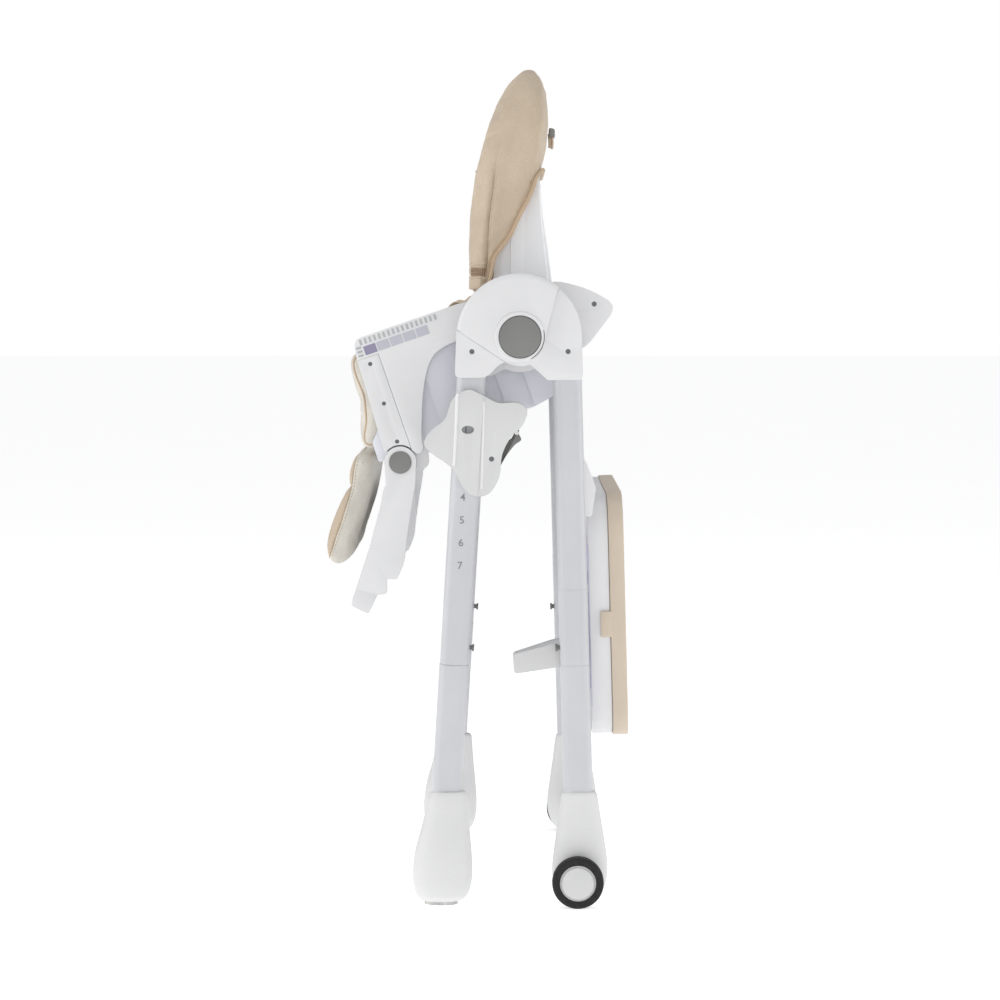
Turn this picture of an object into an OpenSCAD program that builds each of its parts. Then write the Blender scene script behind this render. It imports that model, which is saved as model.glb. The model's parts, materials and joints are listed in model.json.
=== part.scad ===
// Folding baby high chair, standing folded with its tray hung behind the rear legs.
// Front of the chair is -Y, the sitter's left is +X, the floor is Z = 0.

/* [Frame] */
// Height of the hub axis above the floor
hub_z = 707; // [690:1:720]
// Distance of the hub axis behind the middle of the folded chair
hub_y = 61; // [55:1:67]
// Distance of each leg's centre line from the hub axis, at hub height
leg_offset = 57; // [55:1:59]
// Tilt of the folded front legs, bottom forward
front_tilt = 3.45; // [2.5:0.05:4]
// Tilt of the folded rear legs, bottom backward
rear_tilt = 1.58; // [1:0.02:2.2]
// Half distance between the left and right leg centres
leg_x = 245; // [245:1:250]
// Width of the oval leg tube, seen from the side
tube_w = 36; // [34:0.5:37]
// Thickness of the oval leg tube, seen from the front
tube_t = 22; // [20:0.5:23]
// Wall of the leg tube
tube_wall = 1.8; // [1.2:0.1:2.5]
// Diameter of the cross tubes between the boots
cross_d = 28; // [22:1:30]

/* [Wheels] */
// Radius of the tyre
wheel_r = 32; // [30:0.5:33]
// Width of the tyre
wheel_w = 20; // [16:1:22]
// Radius of the wheel centre's disc
rim_r = 20.5; // [18:0.5:23]
// Radius of the wheel axle
axle_r = 4; // [3.5:0.1:5]
// Radial running clearance of a wheel on its axle
axle_gap = 0.05; // [0.02:0.01:0.1]

/* [Hub] */
// Radius of the domed hub cover
dome_r = 78; // [76:0.5:79]
// Radius of the round fold button
button_r = 26; // [24:0.5:27]
// Radius of the ring around the fold button
ring_r = 31; // [30:0.5:32]
// Radius of the hub pin
pin_r = 8; // [6:0.5:9]

/* [Seat] */
// Nose-down lean of the folded seat
seat_lean = 19; // [17:0.5:20]
// Half width of the seat over the side panels
side_x = 219; // [218:0.5:219]
// Thickness of a side panel
side_t = 14; // [10:1:14]
// Height of the armrest above the legrest pivot
arm_h = 163; // [158:1:166]
// Half width of the seat shell
shell_x = 200; // [198:1:201]

/* [Tray] */
// Half width of the tray
tray_x = 225; // [215:1:228]
// Height of the tray as it hangs
tray_h = 306; // [300:1:310]

/* [Hidden] */
$fn = 64;

// Colours
plastic = [0.92, 0.92, 0.93];
tube = [0.84, 0.85, 0.87];
grey = [0.5, 0.5, 0.49];
dark_grey = [0.4, 0.41, 0.4];
rubber = [0.12, 0.12, 0.12];
steel = [0.6, 0.6, 0.62];
beige = [0.78, 0.7, 0.62];
cream = [0.85, 0.83, 0.79];

// Places
pivot = [-88, 550];        // legrest pivot, Y and Z
flap_pivot = [-129, 566];  // hinge line of the leg flap
back_pivot = [102, 658];   // recline hinge
wheel_y = 133;
tray_z = 204;              // bottom of the hanging tray
tray_y = 152;              // front face of the tray base there
hub_out = 270;             // outer face of the domed hub cover
gap = 0.4;                 // space between pieces that move past each other

// A curve of n steps that rounds each corner of an outline, starting r from the corner
function toward(a, b, r) = a + (b - a) * min(r / norm(b - a), 0.49);
function rounded(p, r, n = 5) = [
  for (i = [0:len(p) - 1])
    let (a = p[(i + len(p) - 1) % len(p)], b = p[i], c = p[(i + 1) % len(p)],
         q = is_list(r) ? r[i] : r, s = toward(b, a, q), e = toward(b, c, q))
      each q == 0 ? [b] : [for (k = [0:n]) let (t = k / n)
        (1 - t) * (1 - t) * s + 2 * t * (1 - t) * b + t * t * e]
];
// A smooth closed curve through the points, n steps to a span
function spline(p, n = 4) = [
  for (i = [0:len(p) - 1], k = [0:n - 1])
    let (m = len(p), a = p[(i + m - 1) % m], b = p[i], c = p[(i + 1) % m], d = p[(i + 2) % m], t = k / n)
      0.5 * (2 * b + (c - a) * t + (2 * a - 5 * b + 4 * c - d) * t * t
             + (3 * b - a - 3 * c + d) * t * t * t)
];
// Level seat coordinates: forward of and above the legrest pivot, as Y and Z of the folded chair
function seat(f, u) = pivot + [-f * cos(seat_lean) - u * sin(seat_lean),
                               -f * sin(seat_lean) + u * cos(seat_lean)];
function seat_path(p) = [for (q = p) seat(q[0], q[1])];

// Extrudes a side-view outline, drawn in Y and Z, from x0 to x1
module side(x0, x1) translate([x0, 0, 0]) rotate([90, 0, 90]) linear_extrude(x1 - x0) children();
// A round bar along X at a side-view point
module bar(p, r, x0, x1) translate([x0, p[0], p[1]]) rotate([0, 90, 0]) cylinder(r = r, h = x1 - x0);
module right() mirror([1, 0, 0]) children();
module both() { children(); right() children(); }
module oval(w, t) {
  translate([0, (w - t) / 2]) circle(d = t);
  translate([0, -(w - t) / 2]) circle(d = t);
  square([t, w - t], center = true);
}
module front_axis() translate([leg_x, hub_y - leg_offset, hub_z]) rotate([-front_tilt, 0, 0]) children();
module rear_axis() translate([leg_x, hub_y + leg_offset, hub_z]) rotate([rear_tilt, 0, 0]) children();

/* Legs */
stud_z = 322;
module leg(top, bottom, seam, stud, turn) color(tube) difference() {
  union() {
    translate([0, 0, seam]) linear_extrude(top - seam) oval(tube_w, tube_t);
    translate([0, 0, seam - 0.8]) linear_extrude(0.8) oval(tube_w - 1, tube_t - 1);
    translate([0, 0, bottom]) linear_extrude(seam - 0.8 - bottom) oval(tube_w, tube_t);
  }
  translate([0, 0, bottom - 1]) linear_extrude(top - bottom + 2)
    oval(tube_w - 2 * tube_wall, tube_t - 2 * tube_wall);
  translate([0, 0, stud]) rotate([turn, 0, 0]) cylinder(r = 3, h = tube_w);
}
module front_leg() front_axis() leg(-8, -655, 300 - hub_z, stud_z - hub_z, -90);
module rear_leg() rear_axis() leg(-8, -655, 300 - hub_z, stud_z - hub_z, 90);
module front_leg_left() front_leg();
module front_leg_right() right() front_leg();
module rear_leg_left() rear_leg();
module rear_leg_right() right() rear_leg();

module stud() color(dark_grey) {
  translate([0, 0, tube_w / 2 - 6]) cylinder(r = 3, h = 9);
  translate([0, 0, tube_w / 2 + 3]) cylinder(r = 4.5, h = 2.5);
}
module front_basket_studs() both() front_axis() translate([0, 0, stud_z - hub_z]) rotate([-90, 0, 0]) stud();
module rear_basket_studs() both() rear_axis() translate([0, 0, stud_z - hub_z]) rotate([90, 0, 0]) stud();

/* Boots: a rounded shell that grows towards the floor */
module boot_shape(rows) hull() for (r = rows)
  translate([leg_x, r[0], r[1]]) scale([r[3] / r[2], 1, 1]) cylinder(d = r[2], h = 0.6, $fn = 32);
cross_z = 46;
front_boot_y = -35;
rear_boot_y = 136;
module front_boot() color(plastic) difference() {
  boot_shape([[-28, 142, 46, 32], [-31, 105, 57, 38], [front_boot_y, 54, 74, 48],
              [-35.5, 28, 74, 47], [-36, 14, 67, 42], [-37, 4, 50, 28]]);
  front_axis() translate([0, 0, -655]) linear_extrude(200) oval(tube_w, tube_t);
  bar([front_boot_y, cross_z], cross_d / 2, 0, leg_x - 13);
  foot_pad_block();
}
module foot_pad_block() translate([leg_x, -37, 0]) scale([0.62, 1, 1]) cylinder(d = 42, h = 9);
module front_boot_left() front_boot();
module front_boot_right() right() front_boot();
module front_foot_pads() color(rubber) both() foot_pad_block();
module front_cross_tube() color(tube) difference() {
  bar([front_boot_y, cross_z], cross_d / 2, -leg_x + 13, leg_x - 13);
  bar([front_boot_y, cross_z], cross_d / 2 - tube_wall, -leg_x, leg_x);
}
module rear_boot() color(plastic) difference() {
  intersection() {
    boot_shape([[135, 142, 44, 30], [135.5, 105, 54, 32], [rear_boot_y, 55, 69, 34],
                [rear_boot_y, 34, 68, 34], [rear_boot_y, 14, 54, 30], [rear_boot_y, 7, 38, 24]]);
    translate([leg_x - 30, 0, 0]) cube([47, 300, 300]);
  }
  rear_axis() translate([0, 0, -655]) linear_extrude(200) oval(tube_w, tube_t);
  bar([rear_boot_y, cross_z], cross_d / 2, 0, leg_x - 13);
  bar([wheel_y, wheel_r], axle_r, leg_x - 6, leg_x + 40);
}
module rear_boot_left() rear_boot();
module rear_boot_right() right() rear_boot();
module rear_cross_tube() color(tube) difference() {
  bar([rear_boot_y, cross_z], cross_d / 2, -leg_x + 13, leg_x - 13);
  bar([rear_boot_y, cross_z], cross_d / 2 - tube_wall, -leg_x, leg_x);
}

/* Wheels on the outer sides of the rear boots */
wheel_x = leg_x + 18;
module wheel_axles() color(steel) both() bar([wheel_y, wheel_r], axle_r, leg_x - 6, wheel_x + wheel_w - 4);
module at_wheel() translate([wheel_x, wheel_y, wheel_r]) rotate([0, 90, 0]) children();
module wheel_tyre() color(rubber) at_wheel() rotate_extrude() polygon(rounded(
  [[rim_r + 2, 0], [wheel_r, 0], [wheel_r, wheel_w], [rim_r + 2, wheel_w]], [1, 5, 5, 1], 4));
module wheel_rim() color(plastic) at_wheel() difference() {
  rotate_extrude() polygon([[0, 1], [rim_r + 2, 1], [rim_r + 2, wheel_w - 2], [rim_r, wheel_w - 2],
                            [rim_r - 1, wheel_w - 0.5], [0, wheel_w + 0.5]]);
  translate([0, 0, -1]) cylinder(r = axle_r + axle_gap, h = wheel_w - 2.5);
}
module wheel_tyre_left() wheel_tyre();
module wheel_tyre_right() right() wheel_tyre();
module wheel_rim_left() wheel_rim();
module wheel_rim_right() right() wheel_rim();

/* Hubs: the front socket and dome are one side of the hinge, the rear socket turns between them */
hub = [hub_y, hub_z];
inner_x = 222;             // inner face of the front socket
mid_in = 232;              // the rear disc turns between these two faces
mid_out = 257.5;
skin_out = 262;            // outer face of the rear socket
disc_r = 36;
function hub_at(y, z) = hub + [y, z];
part_y = [-18, -31];      // the parting line of dome and socket starts here and rises forward
part_slope = -0.6545;
front_outline = rounded([hub_at(-78, part_y[1] - 60 * part_slope), hub_at(-80, -50), hub_at(-41, -50),
                         hub_at(-26, -34), hub + part_y], [0, 7, 8, 8, 0]);
module front_socket() color(plastic) difference() {
  union() {
    side(mid_out + 0.2, skin_out + gap) difference() {
      polygon(front_outline);
      translate(hub) circle(r = disc_r + gap);
    }
    side(skin_out + gap, hub_out) difference() {
      polygon(front_outline);
      translate(hub) circle(r = ring_r);
    }
    side(inner_x, mid_in - gap) union() {
      translate(hub) circle(r = 44);
      polygon(rounded([hub_at(-78, 0), hub_at(-80, -50), hub_at(-37, -50), hub_at(0, -30),
                       hub_at(0, 30), hub_at(-50, 40)], [20, 7, 8, 0, 0, 25]));
    }
    side(mid_in - gap, mid_out + 0.2) difference() {
      polygon(rounded([hub_at(-78, -6), hub_at(-80, -50), hub_at(-41, -50), hub_at(-38.5, -6)],
                      [3, 7, 3, 3]));
      translate(hub) circle(r = disc_r + gap);
    }
  }
  front_axis() translate([0, 0, -100]) linear_extrude(92) oval(tube_w, tube_t);
  bar(hub, pin_r, inner_x - 1, mid_in);
  bar(hub_at(-59, -18), 3.2, hub_out - 6, hub_out + 1);
}
module front_socket_left() front_socket();
module front_socket_right() right() front_socket();

module hub_cover() color(plastic) difference() {
  translate([skin_out + gap, hub_y, hub_z]) rotate([0, 90, 0]) rotate_extrude($fn = 96) difference() {
    polygon(concat([[0, 0], [dome_r, 0]],
      [for (a = [0:15:90]) [dome_r - 7 + 7 * cos(a), hub_out - skin_out - gap - 6 + 6 * sin(a)]],
      [[0, hub_out - skin_out - gap]]));
    square([button_r + gap, 30]);
  }
  side(skin_out, hub_out + 5) polygon([hub_at(-90, part_y[1] - 72 * part_slope + gap),
    hub + part_y + [0, gap], hub_at(-22, -100), hub_at(-90, -100)]);
  side(skin_out, hub_out + 5) difference() {
    polygon([hub_at(0, -100), hub_at(-22, -100), hub + part_y + [0, gap], hub_at(0, -ring_r), hub_at(30, -12),
             hub_at(34, 12), hub_at(46, 58), hub_at(70, 90), hub_at(150, 90), hub_at(150, -100)]);
    translate(hub) circle(r = ring_r);
  }
}
module ring_lip() color(plastic) translate([hub_out - 1, hub_y, hub_z]) rotate([0, 90, 0]) rotate_extrude()
  polygon([[button_r + gap, 0], [ring_r, 0], [ring_r, 2], [ring_r - 1.2, 3], [button_r + gap, 3]]);
module hub_cover_left() { hub_cover(); ring_lip(); }
module hub_cover_right() right() { hub_cover(); ring_lip(); }

module rear_socket() color(plastic) difference() {
  union() {
    side(mid_out, skin_out) {
      intersection() {
        translate(hub) circle(r = dome_r - 2, $fn = 96);
        polygon([hub_at(0, 0), hub_at(46, 56), hub_at(90, 90), hub_at(90, -53), hub_at(34, -53), hub_at(8, -30)]);
      }
      polygon(rounded([hub_at(75, 0), hub_at(77.7, -53), hub_at(34, -53), hub_at(18, -30), hub_at(60, 0)],
                      [0, 7, 8, 8, 0]));
      translate(hub) circle(r = disc_r);
    }
    side(mid_in, mid_out) polygon(rounded([hub_at(38.5, 0), hub_at(76, 0), hub_at(77.7, -53), hub_at(40, -53),
      hub_at(14, -30)], [0, 8, 7, 3, 0]));
    bar(hub, disc_r, mid_in, mid_out);
  }
  rear_axis() translate([0, 0, -100]) linear_extrude(92) oval(tube_w, tube_t);
  bar(hub, pin_r + 0.05, mid_in - 1, mid_out);
  bar(hub_at(59, -18), 3.2, skin_out - 4, skin_out + 1);
}
module rear_socket_left() rear_socket();
module rear_socket_right() right() rear_socket();

module hub_pins() color(steel) both() bar(hub, pin_r, inner_x - 1, mid_out - 1);
module fold_button() color(grey) translate([hub_out - 2.4, hub_y, hub_z]) rotate([0, 90, 0]) rotate_extrude()
  polygon(concat([[0, 0], [button_r - 0.2, 0]],
                 [for (a = [0:30:90]) [button_r - 1.7 + 1.5 * cos(a), 3.4 + 1.5 * sin(a)]], [[0, 5.6]]));
module fold_button_left() fold_button();
module fold_button_right() right() fold_button();

// A countersunk cross-head screw, its head facing +X
module screw(p, x, r = 3.2) color(dark_grey) translate([x, p[0], p[1]]) rotate([0, 90, 0]) difference() {
  translate([0, 0, -3]) cylinder(r = r, h = 2.4);
  for (a = [0, 90]) rotate(a) translate([-r * 0.7, -0.5, -1.4]) cube([r * 1.4, 1, 2]);
}
module front_screws() both() screw(hub_at(-59, -18), hub_out);
module rear_screws() both() screw(hub_at(59, -18), skin_out);

/* Rear leg fittings */
hook_top = tray_z + tray_h - 7;
hook_x = tray_x - 68;      // the hook's tip stands inside the tray, under its top wall
module tray_hooks() color(plastic) both() difference() {
  union() {
    side(leg_x - 8, leg_x + 4) polygon(rounded([[136, 562], [143, 552], [151, 532], [155, 520], [154, 513],
                                                 [150, hook_top - 18], [136, hook_top - 18]], 2, 3));
    translate([hook_x, 130, hook_top - 12]) cube([leg_x - hook_x, 12, 12]);
    translate([hook_x, 130, hook_top - 12]) cube([10, 24, 12]);
  }
  rear_axis() translate([0, 0, -300]) linear_extrude(200) oval(tube_w, tube_t);
}
module leg_bracket() color(plastic) difference() {
  intersection() {
    side(leg_x - 66, leg_x - 5) polygon(rounded([[52, 311], [54, 287], [120, 297], [130, 297], [130, 328], [115, 328]],
                                                [4, 5, 0, 0, 0, 0]));
    linear_extrude(400) polygon(rounded([[leg_x - 11.2, 140], [leg_x - 11.2, 50], [leg_x - 40, 50], [leg_x - 64, 100],
                                         [leg_x - 64, 112], [leg_x - 24, 124], [leg_x - 24, 140]], 4));
  }
  rear_axis() translate([0, 0, -500]) linear_extrude(200) oval(tube_w, tube_t);
}

/* Height carriages: a sleeve on the front leg, with a wing to each side */
carriage_outline = spline([[-3, 642], [14, 636], [34, 626], [58, 626], [70, 616], [64, 598], [50, 584],
  [39, 562], [36, 536], [24, 515], [8, 511], [-8, 520], [-22, 545], [-48, 564], [-57, 577], [-48, 592],
  [-31, 606], [-22, 630]]);
car_in = 204;
car_out = 265;
module carriage() color(plastic) difference() {
  union() {
    side(mid_out + 1, car_out) polygon(carriage_outline);
    intersection() {
      side(car_in, car_out + 2) polygon(carriage_outline);
      front_axis() translate([0, 0, -200]) linear_extrude(150) square([150, 33], center = true);
    }
    intersection() {
      side(mid_in - 4, car_out) polygon(carriage_outline);
      front_axis() translate([0, 0, -200]) linear_extrude(150) square([150, 52], center = true);
    }
    intersection() {
      side(mid_in - 4, mid_in + 2) polygon(carriage_outline);
      front_axis() translate([-30, 0, -200]) linear_extrude(150) square([60, 80]);
    }
    bar(lever_pin, 2.5, mid_in, car_out - 2);
  }
  front_axis() translate([0, 0, -260]) linear_extrude(240) oval(tube_w + 2 * gap, tube_t + 2 * gap);
  translate([car_out - 20, -3, 593]) rotate([0, 90, 0]) scale([1, 1.5, 1]) cylinder(r = 5, h = 30);
  bar([26, 557], 3.2, car_out - 6, car_out + 5);
}
module carriage_left() carriage();
module carriage_right() right() carriage();
lever_pin = [57, 589];
module height_lever() color(dark_grey) difference() {
  side(leg_x - 8, leg_x + 8) polygon(spline([[52, 592], [61, 592], [64, 582], [56, 573], [48, 563], [43, 551],
    [39.5, 545], [37.5, 553], [40, 566], [46, 579]], 3));
  bar(lever_pin, 2.55, leg_x - 10, leg_x + 10);
}
module height_lever_left() height_lever();
module height_lever_right() right() height_lever();

/* Seat sides: armrest, arched opening over the leg, rear corner */
side_in = side_x - side_t;
strip_f = -18.5;           // line between the side panel and its front strip
side_outline = rounded(seat_path([[strip_f - 0.4, 10], [strip_f - 0.4, 137.2], [9, 137.2], [6, arm_h - 5],
  [0, arm_h], [-130, arm_h], [-257, arm_h - 12], [-290, 129], [-313, 104], [-313, 92], [-264, 59], [-215, 64],
  [-175, 108], [-145, 119], [-100, 120], [-78, 111], [-62, 87], [-49, 59], [-34, 18], [-34, 6], [-24, 2]]),
  [0, 0, 0, 4, 6, 0, 14, 14, 10, 10, 14, 20, 20, 14, 14, 14, 14, 14, 14, 6, 4], 4);
module seat_side() color(plastic) difference() {
  side(side_in, side_x) polygon(side_outline);
  bar([153, 747], 3.2, side_x - 6, side_x + 1);
}
module seat_side_left() seat_side();
module seat_side_right() right() seat_side();
front_trim = rounded(seat_path([[strip_f, 4], [strip_f, 136.8], [9, 136.8], [10, 104], [13, 49], [15, 4]]),
                     [0, 0, 0, 12, 12, 0], 4);
strip_screws = [seat(-5, 128), seat(-5, 76), seat(-5, 26)];
module side_front() color(plastic) difference() {
  union() {
    side(side_in, side_x) difference() {
      polygon(front_trim);
      translate(pivot) circle(r = 22);
    }
    side(shell_x, side_in) polygon(rounded(seat_path([[2, 60], [12, 30], [10, -8], [-18, -19], [-34, -16], [-38, 8],
                                                      [-34, 60]]), 12));
  }
  for (p = strip_screws) bar(p, 2.6, side_x - 6, side_x + 1);
  bar(pivot, 6, side_in - 14, side_x);
}
module side_front_left() side_front();
module side_front_right() right() side_front();

// Five tiles, a row of bars above them and three bars in front of them, on the armrest
module mark(f, u, w, h) translate([side_x, 0, 0]) side(0, 0.4) polygon(seat_path(
  [[f, u], [f - w, u], [f - w, u - h], [f, u - h]]));
module armrest_marks() color([0.6, 0.58, 0.66]) both() {
  for (i = [0:4]) mark(-3.4 - 17.1 * i, arm_h - 12, 15.6, 11.3);
  for (i = [0:16]) mark(-1 - 6.1 * i, arm_h - 2.5, 3, 7);
  for (i = [0:2]) mark(5.5, arm_h - 10.5 - 5 * i, 6.5, 2.8);
}

/* Seat shell: a bucket with sloping ribs under it */
shell_outline = rounded(seat_path([[26, 8], [26, 34], [0, 62], [-12, 128], [-150, 132], [-235, 116], [-244, 60],
  [-214, 17], [-188, 12], [-172, 10], [-150, 26], [-132, 8]]), [3, 3, 12, 10, 20, 20, 16, 12, 6, 6, 8, 10], 4);
shell_inner = rounded(seat_path([[40, 19], [40, 200], [-300, 200], [-300, 26], [-206, 26], [-180, 20], [-150, 36],
  [-130, 19]]), [0, 0, 0, 0, 10, 6, 8, 8], 4);
module seat_shell() color(plastic) difference() {
  union() {
    difference() {
      side(-shell_x, shell_x) polygon(shell_outline);
      side(-shell_x + 5, shell_x - 5) polygon(shell_inner);
    }
    for (x = [-120, -40, 40, 120]) side(x - 2, x + 2)
      polygon(seat_path([[0, 9], [-125, 9], [-140, -2], [-20, -2]]));
    both() {
      bar(back_pivot, 14, 153, shell_x - 2);
      bar(back_pivot, 6, 142, shell_x - 2);
    }
  }
  both() bar(pivot, 6, 150, 250);
}

module seat_pad() color(beige) side(-148, 148) polygon(rounded(seat_path(
  [[33, 24], [37, 44], [20, 50], [-120, 46], [-172, 54], [-176, 40], [-148, 40], [-126, 21], [0, 21]]),
  [3, 6, 12, 10, 6, 3, 4, 4, 4], 4));
module seat_wings() color(cream) both() side(152, 192) polygon(rounded(seat_path(
  [[18, 24], [22, 60], [20, 140], [0, 152], [-100, 150], [-120, 140], [-110, 60], [-110, 24]]),
  [4, 10, 14, 12, 14, 14, 10, 4], 4));
module crotch_strap() color(beige) side(-15, 15) polygon(seat_path(
  [[-18, 50.2], [-18, 54], [-70, 52], [-70, 49.5], [-66, 47.9], [-20, 49.8]]));
module harness_buckle() color(grey) side(-24, 24) polygon(rounded(seat_path(
  [[-42, 54.4], [-42, 64], [-88, 64], [-88, 50], [-72, 50], [-70.5, 53]]), [3, 5, 5, 3, 0, 0], 3));
module seat_screws() both() {
  for (p = strip_screws) screw(p, side_x, 2.6);
  screw([153, 747], side_x);
  screw([26, 557], car_out);
}
module legrest_pins() color(steel) both() bar(pivot, 6, side_in - 10, side_x - 7);

/* Legrest */
leg_arm = rounded([[-70, 520], [-77, 477], [-81, 450], [-84, 422], [-92, 404], [-105, 404], [-105, 386], [-116, 384],
  [-144, 392], [-126, 446], [-112, 500], [-108, 524]], [10, 10, 6, 6, 2, 2, 2, 2, 2, 10, 10, 10], 3);
module legrest_panel() color(plastic) difference() {
  union() {
    side(-side_in + 20, side_in - 20) polygon(rounded([[-104, 512], [-96, 508], [-104, 470], [-118, 420],
      [-128, 388], [-144, 392], [-126, 446], [-113, 496]], [3, 3, 8, 8, 2, 2, 8, 8], 4));
    both() side(side_in + gap, side_x) union() {
      translate(pivot) circle(r = 20);
      polygon(leg_arm);
      polygon([[-107.5, 548], [-106.5, 522], [-70, 515], [-68.5, 546]]);
    }
    both() side(side_in - 22, side_in + gap) polygon(rounded([[-84, 500], [-81, 450], [-84, 422], [-92, 404],
      [-105, 404], [-128, 388], [-144, 392], [-126, 446], [-113, 496]], [10, 8, 8, 4, 4, 2, 2, 8, 8], 4));
  }
  for (s = [0, 1]) mirror([s, 0, 0]) {
    bar(pivot, 6.05, side_in - 30, side_x - 5);
    bar(pivot, 14, side_x - 6, side_x + 1);
  }
}
module foot_plate() color(plastic) side(-side_in + 22, side_in - 24) polygon(rounded([[-144.2, 391.6], [-151, 374], [-151, 366],
  [-130, 356], [-125, 366], [-116.4, 383.6]], [0, 3, 3, 3, 3, 0], 3));
module legrest_button() color(grey) bar(pivot, 13.8, side_x - 3, side_x + 1.5);
module legrest_button_left() legrest_button();
module legrest_button_right() right() legrest_button();

module leg_flap() color(cream) side(-146, 146) polygon(spline([[-146, 558], [-154, 540], [-157, 524], [-160, 506],
  [-171, 485], [-181, 459], [-187, 435], [-184, 420], [-172, 411], [-160, 415], [-151, 428], [-147, 444],
  [-139, 466], [-132, 490], [-127, 516], [-122, 542], [-121, 558], [-132, 562]], 3));

/* Backrest */
back_side = spline([[-5, 764], [-5, 800], [-4, 831], [0, 880], [6, 915], [15, 946], [26, 978], [38, 1006], [54, 1033],
  [70, 1050], [83, 1046], [93, 1030], [98, 1003], [98, 975], [95, 944], [88, 915], [76, 884], [62, 857], [50, 832],
  [37, 814], [30, 803], [26, 784], [22, 766]], 3);
shell_side = rounded([[28, 770], [30, 850], [36, 920], [52, 985], [70, 1024], [82, 1022], [89, 990], [86, 930], [86, 900],
  [89, 861], [95, 822], [101, 775], [106, 720], [114, 668], [110, 646], [96, 644], [84, 660], [70, 700], [34, 740]],
  [4, 20, 20, 20, 10, 10, 16, 16, 16, 16, 16, 16, 16, 14, 10, 10, 14, 16, 16], 4);
// Front view of the backrest: straight sides that close in a broad arch
module arched(half, top) translate([0, 400, 0]) rotate([90, 0, 0]) linear_extrude(600) polygon(concat(
  [[-half, 500], [half, 500]],
  [for (a = [0:6:180]) [half * cos(a), top - 190 + 190 * pow(sin(a), 0.85)]]));
module back_pad() color(beige) difference() {
  intersection() {
    side(-176, 176) polygon(back_side);
    arched(170, 1054);
  }
  intersection() {
    side(-153, 153) offset(delta = 0.6) polygon(shell_side);
    arched(153, 1034);
  }
}
module back_shell() color(plastic) difference() {
  intersection() {
    side(-152, 152) polygon(shell_side);
    arched(152, 1033);
  }
  side(-140, 140) polygon(rounded([[20, 760], [26, 850], [34, 920], [52, 985], [70, 1016], [78, 1012], [80, 985], [76, 920],
    [76, 900], [79, 861], [85, 822], [91, 775], [96, 720], [98, 700], [74, 706], [30, 748]], 6, 3));
  both() bar(back_pivot, 6.05, 140, 160);
  translate([-handle_w / 2 - 2, 60, 846]) cube([handle_w + 4, 60, 44]);
}
handle_w = 96;
module back_strap() color(beige) side(-19, 19) polygon([[98.4, 946], [106, 946], [106, 962], [98.4, 962]]);
module strap_adjuster() color(grey) side(-24, 24)
  polygon(rounded([[99.4, 962.3], [107, 962.3], [107, 973], [99.4, 974.5]], [0, 0, 3, 2]));
module shoulder_straps() color(beige) both() side(38, 62) difference() {
  intersection() {
    translate([-3, 0]) polygon(back_side);
    translate([-60, 775]) square([100, 140]);
  }
  polygon(back_side);
}
module recline_handle() color(grey) side(-handle_w / 2, handle_w / 2) polygon(rounded(
  [[76, 848], [86.5, 848], [85.5, 880], [79, 880], [76, 870]], 3));

/* Tray, hung upright behind the rear legs */
module tray_outline(inset) polygon(rounded([[-tray_x + inset, inset], [tray_x - inset, inset],
  [tray_x - inset, tray_h - inset], [-tray_x + inset, tray_h - inset]], [40, 40, 60, 60], 8));
// The tray's own plane: X stays, the second axis goes up the tray, extrusions go rearward from y
module tray_plane(y) translate([0, tray_y, tray_z]) rotate([rear_tilt, 0, 0]) translate([0, y, 0]) rotate([90, 0, 0])
  mirror([0, 0, 1]) children();
module tray_base() color(plastic) {
  difference() {
    tray_plane(0) linear_extrude(26) tray_outline(2);
    tray_plane(-1) linear_extrude(23) tray_outline(6);
  }
  both() tray_plane(-6) difference() {
    translate([tray_x - 30, 60, 0]) cube([10, 150, 28.5]);
    for (i = [0:4]) translate([tray_x - 31, 80 + 26 * i, -1]) cube([12, 8, 6]);
  }
}
module tray_top() color(beige) difference() {
  union() {
    tray_plane(26.4) linear_extrude(19) tray_outline(0);
    both() tray_plane(14) translate([tray_x - 1.6, 128, 0]) cube([4, 32, 14]);
  }
  tray_plane(25) linear_extrude(12) tray_outline(4);
  tray_plane(40) linear_extrude(20) translate([0, 14]) scale([0.9, 0.9]) tray_outline(4);
  tray_plane(0) linear_extrude(26) tray_outline(1.6);
}

front_leg_left();
front_leg_right();
front_boot_left();
front_boot_right();
front_foot_pads();
front_cross_tube();
front_socket_left();
front_socket_right();
hub_cover_left();
hub_cover_right();
hub_pins();
front_basket_studs();
front_screws();
rear_leg_left();
rear_leg_right();
rear_boot_left();
rear_boot_right();
rear_cross_tube();
rear_socket_left();
rear_socket_right();
rear_basket_studs();
rear_screws();
tray_hooks();
leg_bracket();
wheel_axles();
wheel_tyre_left();
wheel_rim_left();
wheel_tyre_right();
wheel_rim_right();
fold_button_left();
fold_button_right();
carriage_left();
carriage_right();
seat_side_left();
seat_side_right();
side_front_left();
side_front_right();
armrest_marks();
seat_shell();
seat_pad();
seat_wings();
seat_screws();
crotch_strap();
harness_buckle();
legrest_pins();
height_lever_left();
height_lever_right();
back_shell();
back_pad();
back_strap();
strap_adjuster();
shoulder_straps();
recline_handle();
legrest_panel();
foot_plate();
legrest_button_left();
legrest_button_right();
leg_flap();
tray_base();
tray_top();
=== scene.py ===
"""Looks of the folding baby high chair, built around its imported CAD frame. Metres; the chair's front is -Y."""

import math

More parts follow.
